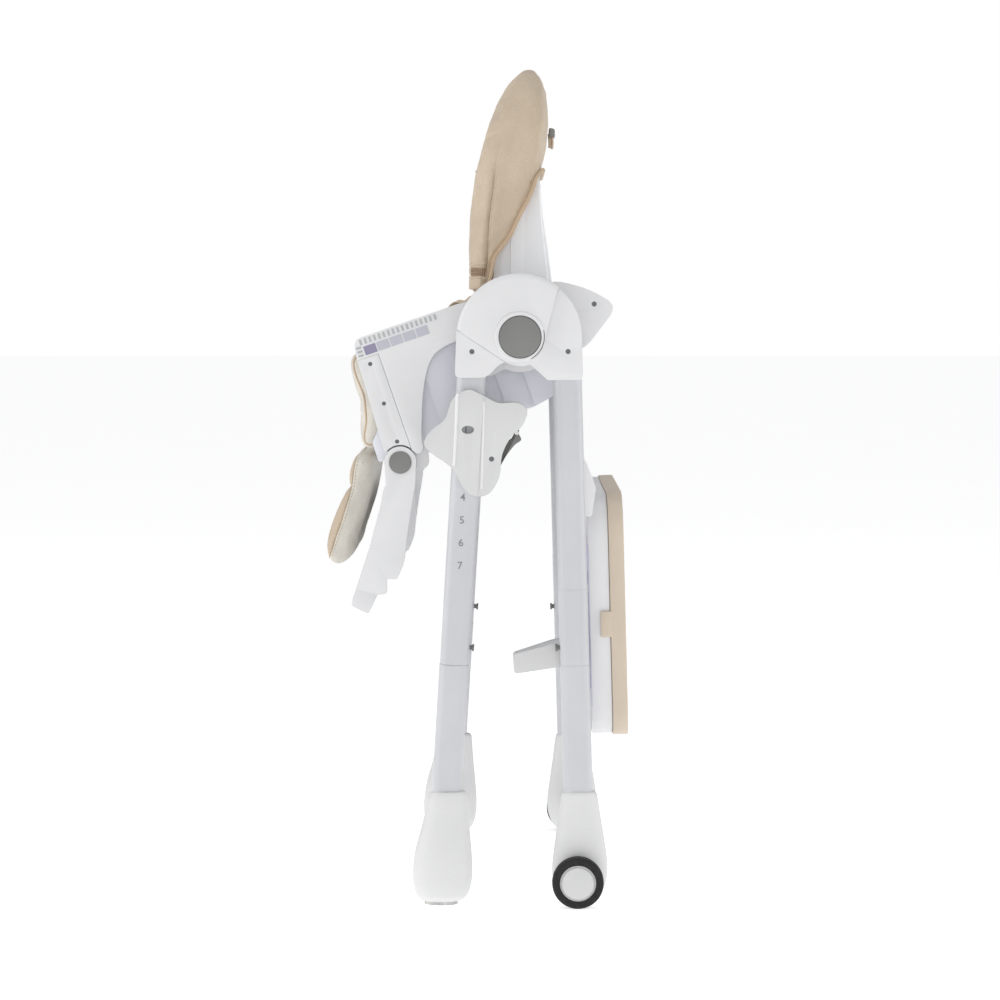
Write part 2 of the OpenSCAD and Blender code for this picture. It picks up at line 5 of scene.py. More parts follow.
import bmesh
import bpy
import numpy as np
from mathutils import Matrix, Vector
from mathutils.bvhtree import BVHTree
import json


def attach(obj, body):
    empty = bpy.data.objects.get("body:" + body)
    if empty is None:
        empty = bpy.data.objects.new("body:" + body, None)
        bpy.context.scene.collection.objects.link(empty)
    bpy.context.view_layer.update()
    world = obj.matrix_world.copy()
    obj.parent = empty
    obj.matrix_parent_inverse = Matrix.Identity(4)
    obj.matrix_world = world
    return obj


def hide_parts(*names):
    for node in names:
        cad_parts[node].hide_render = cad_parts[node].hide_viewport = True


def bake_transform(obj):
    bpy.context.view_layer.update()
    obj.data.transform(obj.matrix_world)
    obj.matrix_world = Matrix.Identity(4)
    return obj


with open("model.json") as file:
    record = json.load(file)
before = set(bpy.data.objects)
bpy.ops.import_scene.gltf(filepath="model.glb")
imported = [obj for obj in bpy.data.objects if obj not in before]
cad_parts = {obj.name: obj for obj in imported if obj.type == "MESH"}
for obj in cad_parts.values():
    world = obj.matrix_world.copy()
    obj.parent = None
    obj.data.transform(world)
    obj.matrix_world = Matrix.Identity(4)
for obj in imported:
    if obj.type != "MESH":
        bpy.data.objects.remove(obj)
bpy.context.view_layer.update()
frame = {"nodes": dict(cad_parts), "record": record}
nodes = frame["nodes"]
body_of = {n: b for b, names in frame["record"]["behaviour"]["bodies"].items() for n in names}
MM = 0.001
SIDES = ((1, "left"), (-1, "right"))
PLANAR = math.radians(0.8)
SHARP = math.radians(32)
MERGE = 2e-5

# ---------------------------------------------------------------- camera and lights

PITCH, YAW = 0.0699, -0.0031
camera = bpy.data.objects.new("camera", bpy.data.cameras.new("camera"))
bpy.context.scene.collection.objects.link(camera)
camera.location = (4.0, 0.048, 0.768)
look = Vector((-math.cos(PITCH) * math.cos(YAW), math.cos(PITCH) * math.sin(YAW), -math.sin(PITCH)))
camera.rotation_euler = look.to_track_quat("-Z", "Y").to_euler()
camera.data.sensor_width = 36
camera.data.lens = 109.512
camera.data.clip_end = 100
bpy.context.scene.camera = camera
bpy.context.scene.view_settings.view_transform = "Standard"


def area_light(name, place, target, size, watts, colour=(1, 1, 1)):
    light = bpy.data.lights.new(name, "AREA")
    light.shape = "RECTANGLE"
    light.size, light.size_y = size
    light.energy = watts
    light.color = colour
    o = bpy.data.objects.new(name, light)
    o.location = place
    o.rotation_euler = (Vector(target) - Vector(place)).to_track_quat("-Z", "Y").to_euler()
    bpy.context.scene.collection.objects.link(o)


area_light("softbox_front", (0.9, -3.2, 1.5), (0, 0, 0.6), (2.6, 2.6), 38, (1, 0.995, 0.985))
area_light("softbox_back", (0.7, 3.3, 1.4), (0, 0, 0.6), (2.4, 2.4), 30, (0.985, 0.99, 1))
area_light("softbox_top", (0.5, -0.4, 3.4), (0, 0, 0.5), (2.8, 2.8), 26)
area_light("softbox_camera", (3.9, 0.4, 1.5), (0, 0, 0.6), (2.2, 2.2), 15)

world = bpy.data.worlds.new("studio")
world.use_nodes = True
bpy.context.scene.world = world
tree = world.node_tree
background = tree.nodes["Background"]
background.inputs["Color"].default_value = (0.985, 0.99, 1, 1)
background.inputs["Strength"].default_value = 0.4
backdrop = tree.nodes.new("ShaderNodeBackground")
backdrop.inputs["Color"].default_value = (1, 1, 1, 1)
ray = tree.nodes.new("ShaderNodeLightPath")
mix = tree.nodes.new("ShaderNodeMixShader")
tree.links.new(ray.outputs["Is Camera Ray"], mix.inputs[0])
tree.links.new(background.outputs[0], mix.inputs[1])
tree.links.new(backdrop.outputs[0], mix.inputs[2])
tree.links.new(mix.outputs[0], tree.nodes["World Output"].inputs["Surface"])


# ---------------------------------------------------------------- materials

def linear(rgb):
    """An sRGB colour of 0 to 255 as linear light."""
    return tuple((c / 255 / 12.92) if c <= 10.3 else ((c / 255 + 0.055) / 1.055) ** 2.4 for c in rgb)


class Nodes:
    """A short way to write a material's nodes."""

    def __init__(self, name):
        self.material = bpy.data.materials.new(name)
        self.material.use_nodes = True
        self.tree = self.material.node_tree
        self.shader = self.tree.nodes["Principled BSDF"]
        self.place = self.tree.nodes.new("ShaderNodeTexCoord").outputs["Object"]

    def link(self, a, b):
        self.tree.links.new(a, b)

    def add(self, kind, inputs=None, **settings):
        n = self.tree.nodes.new(kind)
        for k, v in settings.items():
            setattr(n, k, v)
        for k, v in (inputs or {}).items():
            if isinstance(v, bpy.types.NodeSocket):
                self.link(v, n.inputs[k])
            else:
                n.inputs[k].default_value = v
        return n

    def scaled(self, factors, turn=(0, 0, 0)):
        return self.add("ShaderNodeMapping", {"Vector": self.place, "Scale": factors, "Rotation": turn}).outputs[0]

    def noise(self, scale, detail=3.0, rough=0.55, place=None):
        return self.add("ShaderNodeTexNoise", {"Vector": place or self.place, "Scale": scale, "Detail": detail,
                                               "Roughness": rough}).outputs["Fac"]

    def spread(self, value, low, high, start=0.3, end=0.7):
        return self.add("ShaderNodeMapRange", {"Value": value, "From Min": start, "From Max": end,
                                               "To Min": low, "To Max": high}).outputs[0]

    def mixed(self, factor, a, b):
        n = self.add("ShaderNodeMix", data_type="RGBA")
        self.link(factor, n.inputs[0])
        for socket, v in ((n.inputs[6], a), (n.inputs[7], b)):
            if isinstance(v, bpy.types.NodeSocket):
                self.link(v, socket)
            else:
                socket.default_value = (*v, 1)
        return n.outputs[2]

    def bump(self, height, distance, strength=1.0, under=None):
        inputs = {"Height": height, "Distance": distance, "Strength": strength}
        if under:
            inputs["Normal"] = under
        return self.add("ShaderNodeBump", inputs).outputs[0]

    def cells(self, scale, randomness=1.0):
        return self.add("ShaderNodeTexVoronoi", {"Vector": self.place, "Scale": scale,
                                                 "Randomness": randomness}).outputs["Distance"]

    def done(self, colour, rough, normal, sockets=None):
        """Links colour, roughness and normal, sets the other sockets, and returns the material."""
        for socket, v in (("Base Color", colour), ("Roughness", rough), ("Normal", normal)):
            self.link(v, self.shader.inputs[socket])
        for socket, v in (sockets or {}).items():
            self.shader.inputs[socket].default_value = v
        return self.material


def shaded(rgb, share):
    return tuple(c * share for c in linear(rgb))


def moulded(name, rgb, rough=0.4, grain=1500, depth=0.00006, cloud=0.03, scuff=0.0, metallic=0.0):
    """Moulded plastic: a fine eroded grain, faint flow clouds in the colour, and a gloss that varies."""
    m = Nodes(name)
    colour = m.mixed(m.spread(m.noise(9, 4, 0.6), 0, 1), shaded(rgb, 1 - cloud), shaded(rgb, 1 + cloud))
    colour = m.mixed(m.spread(m.noise(700, 2, 0.7), 0, 0.5, 0.62, 0.8), colour, shaded(rgb, 0.9))
    if scuff:
        rubbed = m.noise(60, 6, 0.7, m.scaled((1, 1, 5)))
        colour = m.mixed(m.spread(rubbed, 0, scuff, 0.6, 0.72), colour, shaded(rgb, 0.78))
    skin = m.bump(m.noise(45, 3, 0.5), 0.0002, 0.5)
    return m.done(colour, m.spread(m.noise(35, 5, 0.65), rough - 0.06, rough + 0.08),
                  m.bump(m.cells(grain), depth, 0.8, skin), {"Metallic": metallic})


def powder_coat(name, rgb):
    """Painted steel tube: orange peel under a soft gloss."""
    m = Nodes(name)
    colour = m.mixed(m.spread(m.noise(14, 5, 0.6), 0, 1), shaded(rgb, 0.965), shaded(rgb, 1.03))
    colour = m.mixed(m.spread(m.noise(160, 2, 0.6), 0, 0.35, 0.66, 0.8), colour, shaded(rgb, 0.88))
    return m.done(colour, m.spread(m.noise(50, 4, 0.6), 0.3, 0.42), m.bump(m.noise(420, 3, 0.6), 0.00012, 0.6),
                  {"Coat Weight": 0.15, "Coat Roughness": 0.2})


def coated_cloth(name, rgb, rough=0.52, crease=0.0016, dark=0.86):
    """Wipe-clean coated fabric: pebbled grain with a hint of the weave below, soft creases, and painted shade that
    darkens the hollows of the creases.
    """
    m = Nodes(name)
    folds = m.noise(16, 4, 0.55, m.scaled((0.8, 1.5, 1)))
    # Painted shade: the colour goes darker where the crease bump is low, down to the share given as dark.
    colour = m.mixed(m.spread(folds, 0, 1), shaded(rgb, dark), shaded(rgb, 1.05))
    cells = m.cells(950, 0.9)
    colour = m.mixed(m.spread(cells, 0, 0.45, 0.35, 0.7), colour, shaded(rgb, 0.8))
    colour = m.mixed(m.spread(m.noise(260, 2), 0, 0.3, 0.55, 0.75), colour, shaded(rgb, 1.16))
    soft = m.bump(folds, crease, 0.55)
    weave = m.bump(m.noise(1400, 2, 0.6, m.scaled((1, 1, 0.35))), 0.00008, 0.4, soft)
    return m.done(colour, m.spread(m.noise(70, 4, 0.6), rough - 0.07, rough + 0.09),
                  m.bump(cells, 0.00022, 0.75, weave), {"Sheen Weight": 0.12, "Sheen Roughness": 0.4})


def woven(name, rgb, pitch=820):
    """Narrow webbing: crossed ribs of yarn."""
    m = Nodes(name)
    across = m.add("ShaderNodeTexWave", {"Vector": m.scaled((1, 1, 1)), "Scale": pitch, "Distortion": 0.6},
                   bands_direction="X").outputs["Fac"]
    along = m.add("ShaderNodeTexWave", {"Vector": m.scaled((1, 1, 1), (0.3, 0, 0)), "Scale": pitch * 0.7,
                                        "Distortion": 0.6}, bands_direction="Z").outputs["Fac"]
    yarn = m.add("ShaderNodeMath", {0: across, 1: along}, operation="MULTIPLY").outputs[0]
    colour = m.mixed(m.spread(yarn, 0, 1, 0, 0.6), shaded(rgb, 0.84), shaded(rgb, 1.12))
    colour = m.mixed(m.spread(m.noise(90, 4), 0, 0.35), colour, shaded(rgb, 0.85))
    return m.done(colour, m.spread(m.noise(300, 2), 0.62, 0.8), m.bump(yarn, 0.0002, 0.6), {"Sheen Weight": 0.3})


def tyre_rubber(name, rgb):
    """Dull rubber with a fine rough skin."""
    m = Nodes(name)
    colour = m.mixed(m.spread(m.noise(120, 5, 0.7), 0, 1), shaded(rgb, 0.75), shaded(rgb, 1.35))
    return m.done(colour, m.spread(m.noise(220, 4, 0.7), 0.5, 0.78), m.bump(m.noise(1800, 3, 0.7), 0.0002, 0.8))


def turned_metal(name, rgb, rough=0.3):
    """Turned steel with fine rings from the tool."""
    m = Nodes(name)
    rings = m.noise(900, 2, 0.5, m.scaled((0.05, 1, 1)))
    colour = m.mixed(m.spread(rings, 0, 1), shaded(rgb, 0.8), shaded(rgb, 1.1))
    return m.done(colour, m.spread(m.noise(400, 3), rough - 0.08, rough + 0.12), m.bump(rings, 0.00005, 0.6),
                  {"Metallic": 0.9})


def printed(name, rgb):
    """Printed film: a faint dot screen in the ink."""
    m = Nodes(name)
    dots = m.cells(1600, 0.1)
    colour = m.mixed(m.spread(dots, 0, 0.5, 0.25, 0.6), shaded(rgb, 1.0), shaded(rgb, 1.12))
    colour = m.mixed(m.spread(m.noise(90, 3), 0, 0.3), colour, shaded(rgb, 0.9))
    return m.done(colour, m.spread(m.noise(300, 3), 0.3, 0.42), m.bump(dots, 0.00002, 0.5))


WHITE = moulded("white_plastic", (222, 222, 223), 0.38)
# A brighter white: the tray base's own colour, and a painted highlight on the carriage beads.
BRIGHT = moulded("bright_white_and_painted_highlight_plastic", (232, 232, 233), 0.42)
BOOT = moulded("boot_plastic", (220, 220, 220), 0.42, scuff=0.35)
FITTING = moulded("leg_fitting_plastic", (211, 211, 211), 0.4)
LILAC = moulded("shell_plastic", (226, 227, 234), 0.42)
SHELL = moulded("back_shell_plastic", (238, 239, 241), 0.4)
TUBE = powder_coat("tube_paint", (200, 201, 205))
GREY = moulded("grey_plastic", (126, 126, 124), 0.36, grain=1100, depth=0.0001, cloud=0.05, metallic=0.25)
DARK = moulded("dark_plastic", (112, 113, 110), 0.4, cloud=0.05)
BEIGE_PLASTIC = moulded("beige_plastic", (211, 196, 177), 0.4)
BEIGE = coated_cloth("beige_cloth", (204, 186, 163))
# Darker cloth for the beads laid in the seam grooves: painted shade along the seams.
SEAM_SHADE_CLOTH = coated_cloth("painted_seam_shade_cloth", (189, 168, 142), dark=0.8)
BINDING = coated_cloth("binding_cloth", (196, 172, 144), 0.6, crease=0.0006)
CREAM = coated_cloth("cream_cloth", (214, 209, 199), 0.55)
WEBBING = woven("beige_webbing", (206, 187, 162))
TAB = woven("tab_webbing", (184, 156, 128), 1200)
THREAD = woven("sewing_thread", (196, 176, 150), 1600)
BROWN_THREAD = woven("brown_thread", (116, 86, 66), 1600)
TYRE = tyre_rubber("tyre_rubber", (11, 11, 10))
PAD_RUBBER = tyre_rubber("pad_rubber", (190, 190, 188))
RIM = moulded("rim_plastic", (211, 211, 211), 0.42)
# Darker violet for the tray base's lower inner faces: painted shade.
TRAY_SHADE = moulded("tray_painted_shade", (208, 206, 226), 0.45)
STEEL = turned_metal("steel", (150, 150, 152))
SCREW = turned_metal("screw_steel", (112, 114, 116), 0.36)
PURPLE = printed("print_purple", (142, 137, 163))
PALE = printed("print_pale", (186, 187, 196))
TICK = printed("print_tick", (176, 178, 180))
NUMBER = printed("print_number", (134, 134, 138))

# ---------------------------------------------------------------- mesh helpers


def piece(name, verts, faces, material, body, slot=None, smooth=True):
    """A mesh object that rides on a body, where one is given. The slot is not used."""
    mesh = bpy.data.meshes.new(name)
    mesh.from_pydata([tuple(map(float, v)) for v in verts], [], [tuple(map(int, f)) for f in faces])
    mesh.validate()
    o = bpy.data.objects.new(name, mesh)
    bpy.context.scene.collection.objects.link(o)
    bm = bmesh.new()
    bm.from_mesh(mesh)
    bmesh.ops.recalc_face_normals(bm, faces=bm.faces)
    bm.to_mesh(mesh)
    bm.free()
    mesh.materials.append(material)
    for p in mesh.polygons:
        p.use_smooth = smooth
    if body:
        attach(o, body)
    return o


def loft(rings):
    """Vertices and faces of a closed tube through equal rings of points."""
    rings = [np.asarray(r, float) for r in rings]
    n = len(rings[0])
    verts = np.concatenate(rings)
    faces = [(i * n + j, i * n + (j + 1) % n, (i + 1) * n + (j + 1) % n, (i + 1) * n + j)
             for i in range(len(rings) - 1) for j in range(n)]
    faces += [tuple(range(n))[::-1], tuple(range((len(rings) - 1) * n, len(rings) * n))]
    return verts, faces


def curve_through(points, steps):
    """A Catmull-Rom curve through the points, steps to a span."""
    p = np.asarray(points, float)
    p = np.concatenate([[2 * p[0] - p[1]], p, [2 * p[-1] - p[-2]]])
    out = []
    for i in range(1, len(p) - 2):
        a, b, c, d = p[i - 1:i + 3]
        for t in np.arange(steps) / steps:
            out.append(0.5 * (2 * b + (c - a) * t + (2 * a - 5 * b + 4 * c - d) * t * t
                              + (3 * b - a - 3 * c + d) * t ** 3))
    return np.array(out + [p[-2]])


def distinct(path):
    """Which points of a path are not a repeat of the one before."""
    return np.concatenate([[True], np.linalg.norm(np.diff(path, axis=0), axis=1) > 1e-5])


def tangents(path):
    """A unit tangent at each point of the path."""
    t = np.gradient(path, axis=0)
    return t / np.linalg.norm(t, axis=1)[:, None]


def ribbon(name, path, wide, width, thick, material, body, slot):
    """A flat strap along the path, millimetres wide and thick; wide is its width's direction."""
    path = np.asarray(path, float)
    side = np.broadcast_to(np.asarray(wide, float), path.shape)[distinct(path)]
    path = path[distinct(path)]
    tangent = tangents(path)
    side = side - (side * tangent).sum(1)[:, None] * tangent
    side /= np.linalg.norm(side, axis=1)[:, None]
    up = np.cross(tangent, side)
    profile = [(-0.5, -0.5), (-0.25, -0.5), (0, -0.5), (0.25, -0.5), (0.5, -0.5), (0.52, 0), (0.5, 0.5), (0.25, 0.5),
               (0, 0.5), (-0.25, 0.5), (-0.5, 0.5), (-0.52, 0)]
    rings = [[p + s * a * width * MM + u * b * thick * MM for a, b in profile] for p, s, u in zip(path, side, up)]
    return piece(name, *loft(rings), material, body, slot)


def rod(name, path, radius, material, body, slot, sides=10):
    """A round bead along the path, its radius in millimetres."""
    path = np.asarray(path, float)
    path = path[distinct(path)]
    tangent = tangents(path)
    normal = np.cross(tangent, (0.3, 0.2, 1.0))
    normal /= np.linalg.norm(normal, axis=1)[:, None]
    other = np.cross(tangent, normal)
    turn = [2 * math.pi * k / sides for k in range(sides)]
    rings = [[p + radius * MM * (a * math.cos(t) + b * math.sin(t)) for t in turn]
             for p, a, b in zip(path, normal, other)]
    return piece(name, *loft(rings), material, body, slot)


def stitches(name, path, normals, material, body, slot, pitch=4.6, length=3.0, radius=0.5):
    """A row of separate sewn stitches, sized in millimetres, that stand on a surface."""
    pitch, length, radius = pitch * MM, length * MM, radius * MM
    step = np.concatenate([[0], np.cumsum(np.linalg.norm(np.diff(path, axis=0), axis=1))])
    verts, faces = [], []
    for s in np.arange(pitch / 2, step[-1] - length, pitch):
        a, m, b = (np.array([np.interp(q, step, path[:, k]) for k in range(3)])
                   for q in (s, s + length / 2, s + length))
        n = np.array([np.interp(s, step, normals[:, k]) for k in range(3)])
        n /= max(np.linalg.norm(n), 1e-9)
        along = (b - a) / max(np.linalg.norm(b - a), 1e-9)
        out = np.cross(along, n)
        for q, (centre, r) in enumerate(((a, 0.35), (m + n * radius * 0.35, 1), (b, 0.35))):
            verts += [centre + radius * r * (out * math.cos(t) + n * math.sin(t))
                      for t in (k * math.pi / 3 for k in range(6))]
        base = len(verts) - 18
        for i in range(2):
            faces += [(base + i * 6 + j, base + i * 6 + (j + 1) % 6, base + i * 6 + 6 + (j + 1) % 6,
                       base + i * 6 + 6 + j) for j in range(6)]
        faces += [tuple(base + j for j in range(6))[::-1], tuple(base + 12 + j for j in range(6))]
    return piece(name, verts, faces, material, body, slot)


def ccw(points):
    """A closed outline's points, counter-clockwise."""
    p = np.asarray(points, float)
    area = (p[:, 0] * np.roll(p[:, 1], -1) - np.roll(p[:, 0], -1) * p[:, 1]).sum()
    return p if area > 0 else p[::-1]


def resampled(points, n):
    """A closed outline as n evenly spaced points."""
    p = np.concatenate([points, points[:1]])
    s = np.concatenate([[0], np.cumsum(np.linalg.norm(np.diff(p, axis=0), axis=1))])
    q = np.linspace(0, s[-1], n + 1)[:-1]
    return np.stack([np.interp(q, s, p[:, k]) for k in range(2)], 1)


def closed_curve(points, n=120):
    """A smooth closed outline through the points, as n evenly spaced points, counter-clockwise."""
    p = np.asarray(points, float)
    p = np.concatenate([p[-2:], p, p[:2]])
    dense = curve_through(p, 8)
    return resampled(ccw(dense[16:-17]), n)


def inward_of(outline):
    """A unit vector into a counter-clockwise outline at each of its points."""
    tangent = np.roll(outline, -1, 0) - np.roll(outline, 1, 0)
    tangent /= np.linalg.norm(tangent, axis=1)[:, None]
    return np.stack([-tangent[:, 1], tangent[:, 0]], 1)


def pillow(name, outline, x0, x1, round_by, material, inset=0.0):
    """A side-view outline, in Y and Z millimetres, filled across X with rounded ends."""
    p = closed_curve(outline)
    inward = inward_of(p)
    middle, half = (x0 + x1) / 2, abs(x1 - x0) / 2 - inset
    stations = list(-half + round_by * (1 - np.cos(np.linspace(0.15, math.pi / 2, 9))))
    stations += list(np.linspace(-half + round_by, half - round_by, 26)[1:-1]) + [-s for s in stations[::-1]]
    rings = []
    for s in stations:
        past = max(0.0, abs(s) - (half - round_by))
        shrink = round_by - math.sqrt(max(round_by ** 2 - past ** 2, 0)) + inset
        rings.append([(middle + s, *q) for q in p + inward * shrink])
    return piece(name, *loft(np.array(rings) * MM), material, None)


def modified(o, kind, **settings):
    """Adds a modifier."""
    m = o.modifiers.new(kind.lower(), kind)
    for k, v in settings.items():
        setattr(m, k, v)
    return m


def settle(o):
    """Turns the object's modifiers into its mesh."""
    evaluated = o.evaluated_get(bpy.context.evaluated_depsgraph_get())
    mesh = bpy.data.meshes.new_from_object(evaluated)
    old = o.data
    o.modifiers.clear()
    o.data = mesh
    bpy.data.meshes.remove(old)
    for p in mesh.polygons:
        p.use_smooth = True
    return o


def coordinates(o):
    """The object's vertices as an array, in metres."""
    co = np.zeros(len(o.data.vertices) * 3)
    o.data.vertices.foreach_get("co", co)
    return co.reshape(-1, 3)


def set_coordinates(o, co):
    """Puts the object's vertices at the rows of an array."""
    o.data.vertices.foreach_set("co", np.asarray(co, np.float32).ravel())
    o.data.update()


def cut(o, cutter):
    """Takes the cutter's solid out of the object, and the cutter away."""
    modified(o, "BOOLEAN", operation="DIFFERENCE", solver="EXACT", object=cutter)
    settle(o)
    bpy.data.objects.remove(cutter)


def puffed(o, limit, mask=None):
    """Remeshes a cushion evenly, blows it up as cloth, and takes each point's move up to a limit in millimetres."""
    modified(o, "REMESH", mode="VOXEL", voxel_size=4 * MM, use_smooth_shade=True)
    settle(o)
    modified(o, "SMOOTH", factor=0.5, iterations=4)
    settle(o)
    rest = coordinates(o)
    cloth = modified(o, "CLOTH").settings
    cloth.quality = 5
    cloth.mass = 0.3
    cloth.tension_stiffness = cloth.compression_stiffness = 12
    cloth.bending_stiffness = 1.2
    cloth.use_pressure = True
    cloth.uniform_pressure_force = 4
    cloth.effector_weights.gravity = 0
    scene = bpy.context.scene
    for f in range(1, 21):
        scene.frame_set(f)
    evaluated = o.evaluated_get(bpy.context.evaluated_depsgraph_get())
    blown = np.array([v.co for v in evaluated.data.vertices], float)
    scene.frame_set(1)
    o.modifiers.clear()
    move = blown - rest
    size = np.linalg.norm(move, axis=1)[:, None]
    move *= limit * MM * np.tanh(size / (limit * MM)) / np.maximum(size, 1e-9)
    if mask is not None:
        move *= mask(rest)[:, None]
    set_coordinates(o, rest + move)
    modified(o, "SUBSURF", levels=1, render_levels=1)
    return settle(o)


def near_curve(points, path):
    """Distance of each 2-D point from a polyline, and which side of it the point is on."""
    points, path = np.asarray(points, float), np.asarray(path, float)
    best, side = np.full(len(points), 1e9), np.zeros(len(points))
    for a, b in zip(path[:-1], path[1:]):
        d = b - a
        t = np.clip(((points - a) @ d) / (d @ d), 0, 1)
        off = points - (a + t[:, None] * d)
        dist = np.linalg.norm(off, axis=1)
        better = dist < best
        best[better] = dist[better]
        side[better] = np.sign(d[0] * off[:, 1] - d[1] * off[:, 0])[better]
    return best, side


def on_surface(o, points, directions, lift):
    """Drops points onto a piece along directions; returns places lifted off it in millimetres, and normals."""
    tree = BVHTree.FromPolygons([v.co for v in o.data.vertices], [p.vertices for p in o.data.polygons])
    places, normals = [], []
    for p, d in zip(points, np.broadcast_to(directions, np.shape(points))):
        hit, normal, _, _ = tree.ray_cast(Vector(p), Vector(d))
        if hit is None:
            hit, normal, _, _ = tree.find_nearest(Vector(p))
        if normal.dot(Vector(d)) > 0:
            normal = -normal
        places.append(np.array(hit) + np.array(normal) * lift * MM)
        normals.append(np.array(normal))
    return np.array(places), np.array(normals)


def beside(side, line, reach=210):
    """A line of places in the side view, in millimetres, taken out to one side of the chair."""
    line = np.asarray(line, float)
    return np.concatenate([np.full((len(line), 1), side * reach), line], 1) * MM


def level_line(y0, z0, y1, z1, n):
    """A straight line of n places in the side view."""
    return np.stack([np.linspace(y0, y1, n), np.linspace(z0, z1, n)], 1)


def at(line, z):
    """A profile's Y at a height, from its (Z, Y) rows."""
    return np.interp(z, line[:, 0], line[:, 1])


def from_cad(node):
    """A bmesh copy of a CAD part."""
    bm = bmesh.new()
    bm.from_mesh(nodes[node].data)
    return bm


def weld(bm):
    """Joins the vertices that lie together."""
    bmesh.ops.remove_doubles(bm, verts=bm.verts, dist=MERGE)


def slice_at(bm, place, normal, **clear):
    """Cuts the mesh along a plane."""
    bmesh.ops.bisect_plane(bm, geom=bm.verts[:] + bm.edges[:] + bm.faces[:], dist=1e-6, plane_co=place,
                           plane_no=normal, **clear)


def rim_of(bm):
    """Extrudes the open edges, and returns the new vertices."""
    rim = bmesh.ops.extrude_edge_only(bm, edges=[e for e in bm.edges if e.is_boundary])
    return [v for v in rim["geom"] if isinstance(v, bmesh.types.BMVert)]


def patch(name, bm, material, sharp, body, smooth=False):
    """The bmesh as a piece, with edges over a number of degrees kept sharp."""
    mesh = bpy.data.meshes.new(name)
    bm.to_mesh(mesh)
    bm.free()
    mesh.materials.append(material)
    if smooth:
        for p in mesh.polygons:
            p.use_smooth = True
    mesh.set_sharp_from_angle(angle=math.radians(sharp))
    o = bpy.data.objects.new(name, mesh)
    bpy.context.scene.collection.objects.link(o)
    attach(o, body)


# ---------------------------------------------------------------- moulded and painted parts

def softened(node, material, edge):
    """A copy of a CAD part with its sharp edges rounded, which stands for it."""
    mesh = nodes[node].data.copy()
    bm = from_cad(node)
    weld(bm)
    bmesh.ops.dissolve_limit(bm, angle_limit=PLANAR, verts=bm.verts, edges=bm.edges)
    bm.to_mesh(mesh)
    bm.free()
    mesh.materials.clear()
    mesh.materials.append(material)
    o = bpy.data.objects.new(node + "_part", mesh)
    bpy.context.scene.collection.objects.link(o)
    if "custom_normal" in mesh.attributes:
        mesh.attributes.remove(mesh.attributes["custom_normal"])
    for p in mesh.polygons:
        p.use_smooth = True
    modified(o, "BEVEL", width=edge * MM, segments=3, limit_method="ANGLE", angle_limit=SHARP,
             harden_normals=False, use_clamp_overlap=True)
    settle(o)
    o.data.set_sharp_from_angle(angle=SHARP)
    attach(o, body_of[node])
    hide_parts(node)


def pair(name):
    return name + "_left", name + "_right"


def part(node):
    """The detailed piece that stands for a CAD part."""
    return bpy.data.objects[node + "_part"]


for slot, rows in (
        ("white_plastic", (
            (pair("front_socket"), WHITE, 1.6), (pair("hub_cover"), WHITE, 0.6), (pair("rear_socket"), WHITE, 1.4),
            (pair("carriage"), FITTING, 1.6), (pair("seat_side"), WHITE, 1.6), (pair("side_front"), WHITE, 1.0),
            (pair("wheel_rim"), RIM, 0.5), (["seat_shell"], LILAC, 1.4), (["back_shell"], SHELL, 1.8),
            (["legrest_panel"], WHITE, 1.6), (["foot_plate"], WHITE, 1.4), (["leg_bracket"], FITTING, 1.8),
            (["tray_hooks"], WHITE, 1.4), (["tray_base"], BRIGHT, 1.2))),
        ("grey_plastic", (
            (pair("fold_button"), GREY, 0.3), (pair("legrest_button"), GREY, 0.6), (["recline_handle"], DARK, 1.6),
            (["harness_buckle"], DARK, 1.6), (["strap_adjuster"], GREY, 0.8))),
        ("beige_plastic", ((["tray_top"], BEIGE_PLASTIC, 2.2),))):
    for names, material, edge in rows:
        for node in names:
            softened(node, material, edge)


def finish_node(node, material):
    """A CAD part that stays as it is, with a better material."""
    o = nodes[node]
    o.data.materials.clear()
    o.data.materials.append(material)
    for p in o.data.polygons:
        p.material_index = 0


for material, names in (
        (TUBE, (*pair("front_leg"), *pair("rear_leg"), "front_cross_tube", "rear_cross_tube")),
        (TYRE, pair("wheel_tyre")), (STEEL, ("hub_pins", "legrest_pins", "wheel_axles")),
        (SCREW, ("front_screws", "rear_screws", "seat_screws")),
        (DARK, ("front_basket_studs", "rear_basket_studs")), (PAD_RUBBER, ("front_foot_pads",))):
    for node in names:
        finish_node(node, material)

# Seat coordinates, as in the CAD source: forward of and above the legrest pivot, in millimetres
LEAN = math.radians(19)
PIVOT_Y, PIVOT_Z = -88, 550


def seat(f, u, x=0.0):
    """Seat coordinates as a place in metres."""
    return np.array([x, PIVOT_Y - f * math.cos(LEAN) - u * math.sin(LEAN),
                     PIVOT_Z - f * math.sin(LEAN) + u * math.cos(LEAN)]) * MM


def seat_yz(points):
    """Seat coordinates as places in the side view, in millimetres."""
    return [tuple(seat(f, u)[1:] / MM) for f, u in points]


def in_seat(y, z):
    """A place in the side view, in millimetres, as seat coordinates."""
    y, z = y - PIVOT_Y, z - PIVOT_Z
    return -y * math.cos(LEAN) - z * math.sin(LEAN), -y * math.sin(LEAN) + z * math.cos(LEAN)


def forward(co):
    """How far forward a point in metres lies along the seat, in millimetres."""
    return in_seat(co.y / MM, co.z / MM)[0]


# The armrest film: one purple tile, four pale ones, and grey bars round them
marks = nodes["armrest_marks"].data
marks.materials.clear()
for m in (PURPLE, PALE, TICK):
    marks.materials.append(m)
for p in marks.polygons:
    f, u = in_seat(p.center.y / MM, p.center.z / MM)
    tile = u < 151.5 and f < -2.5
    p.material_index = 0 if tile and f > -20 else 1 if tile else 2


LEG_X = 245


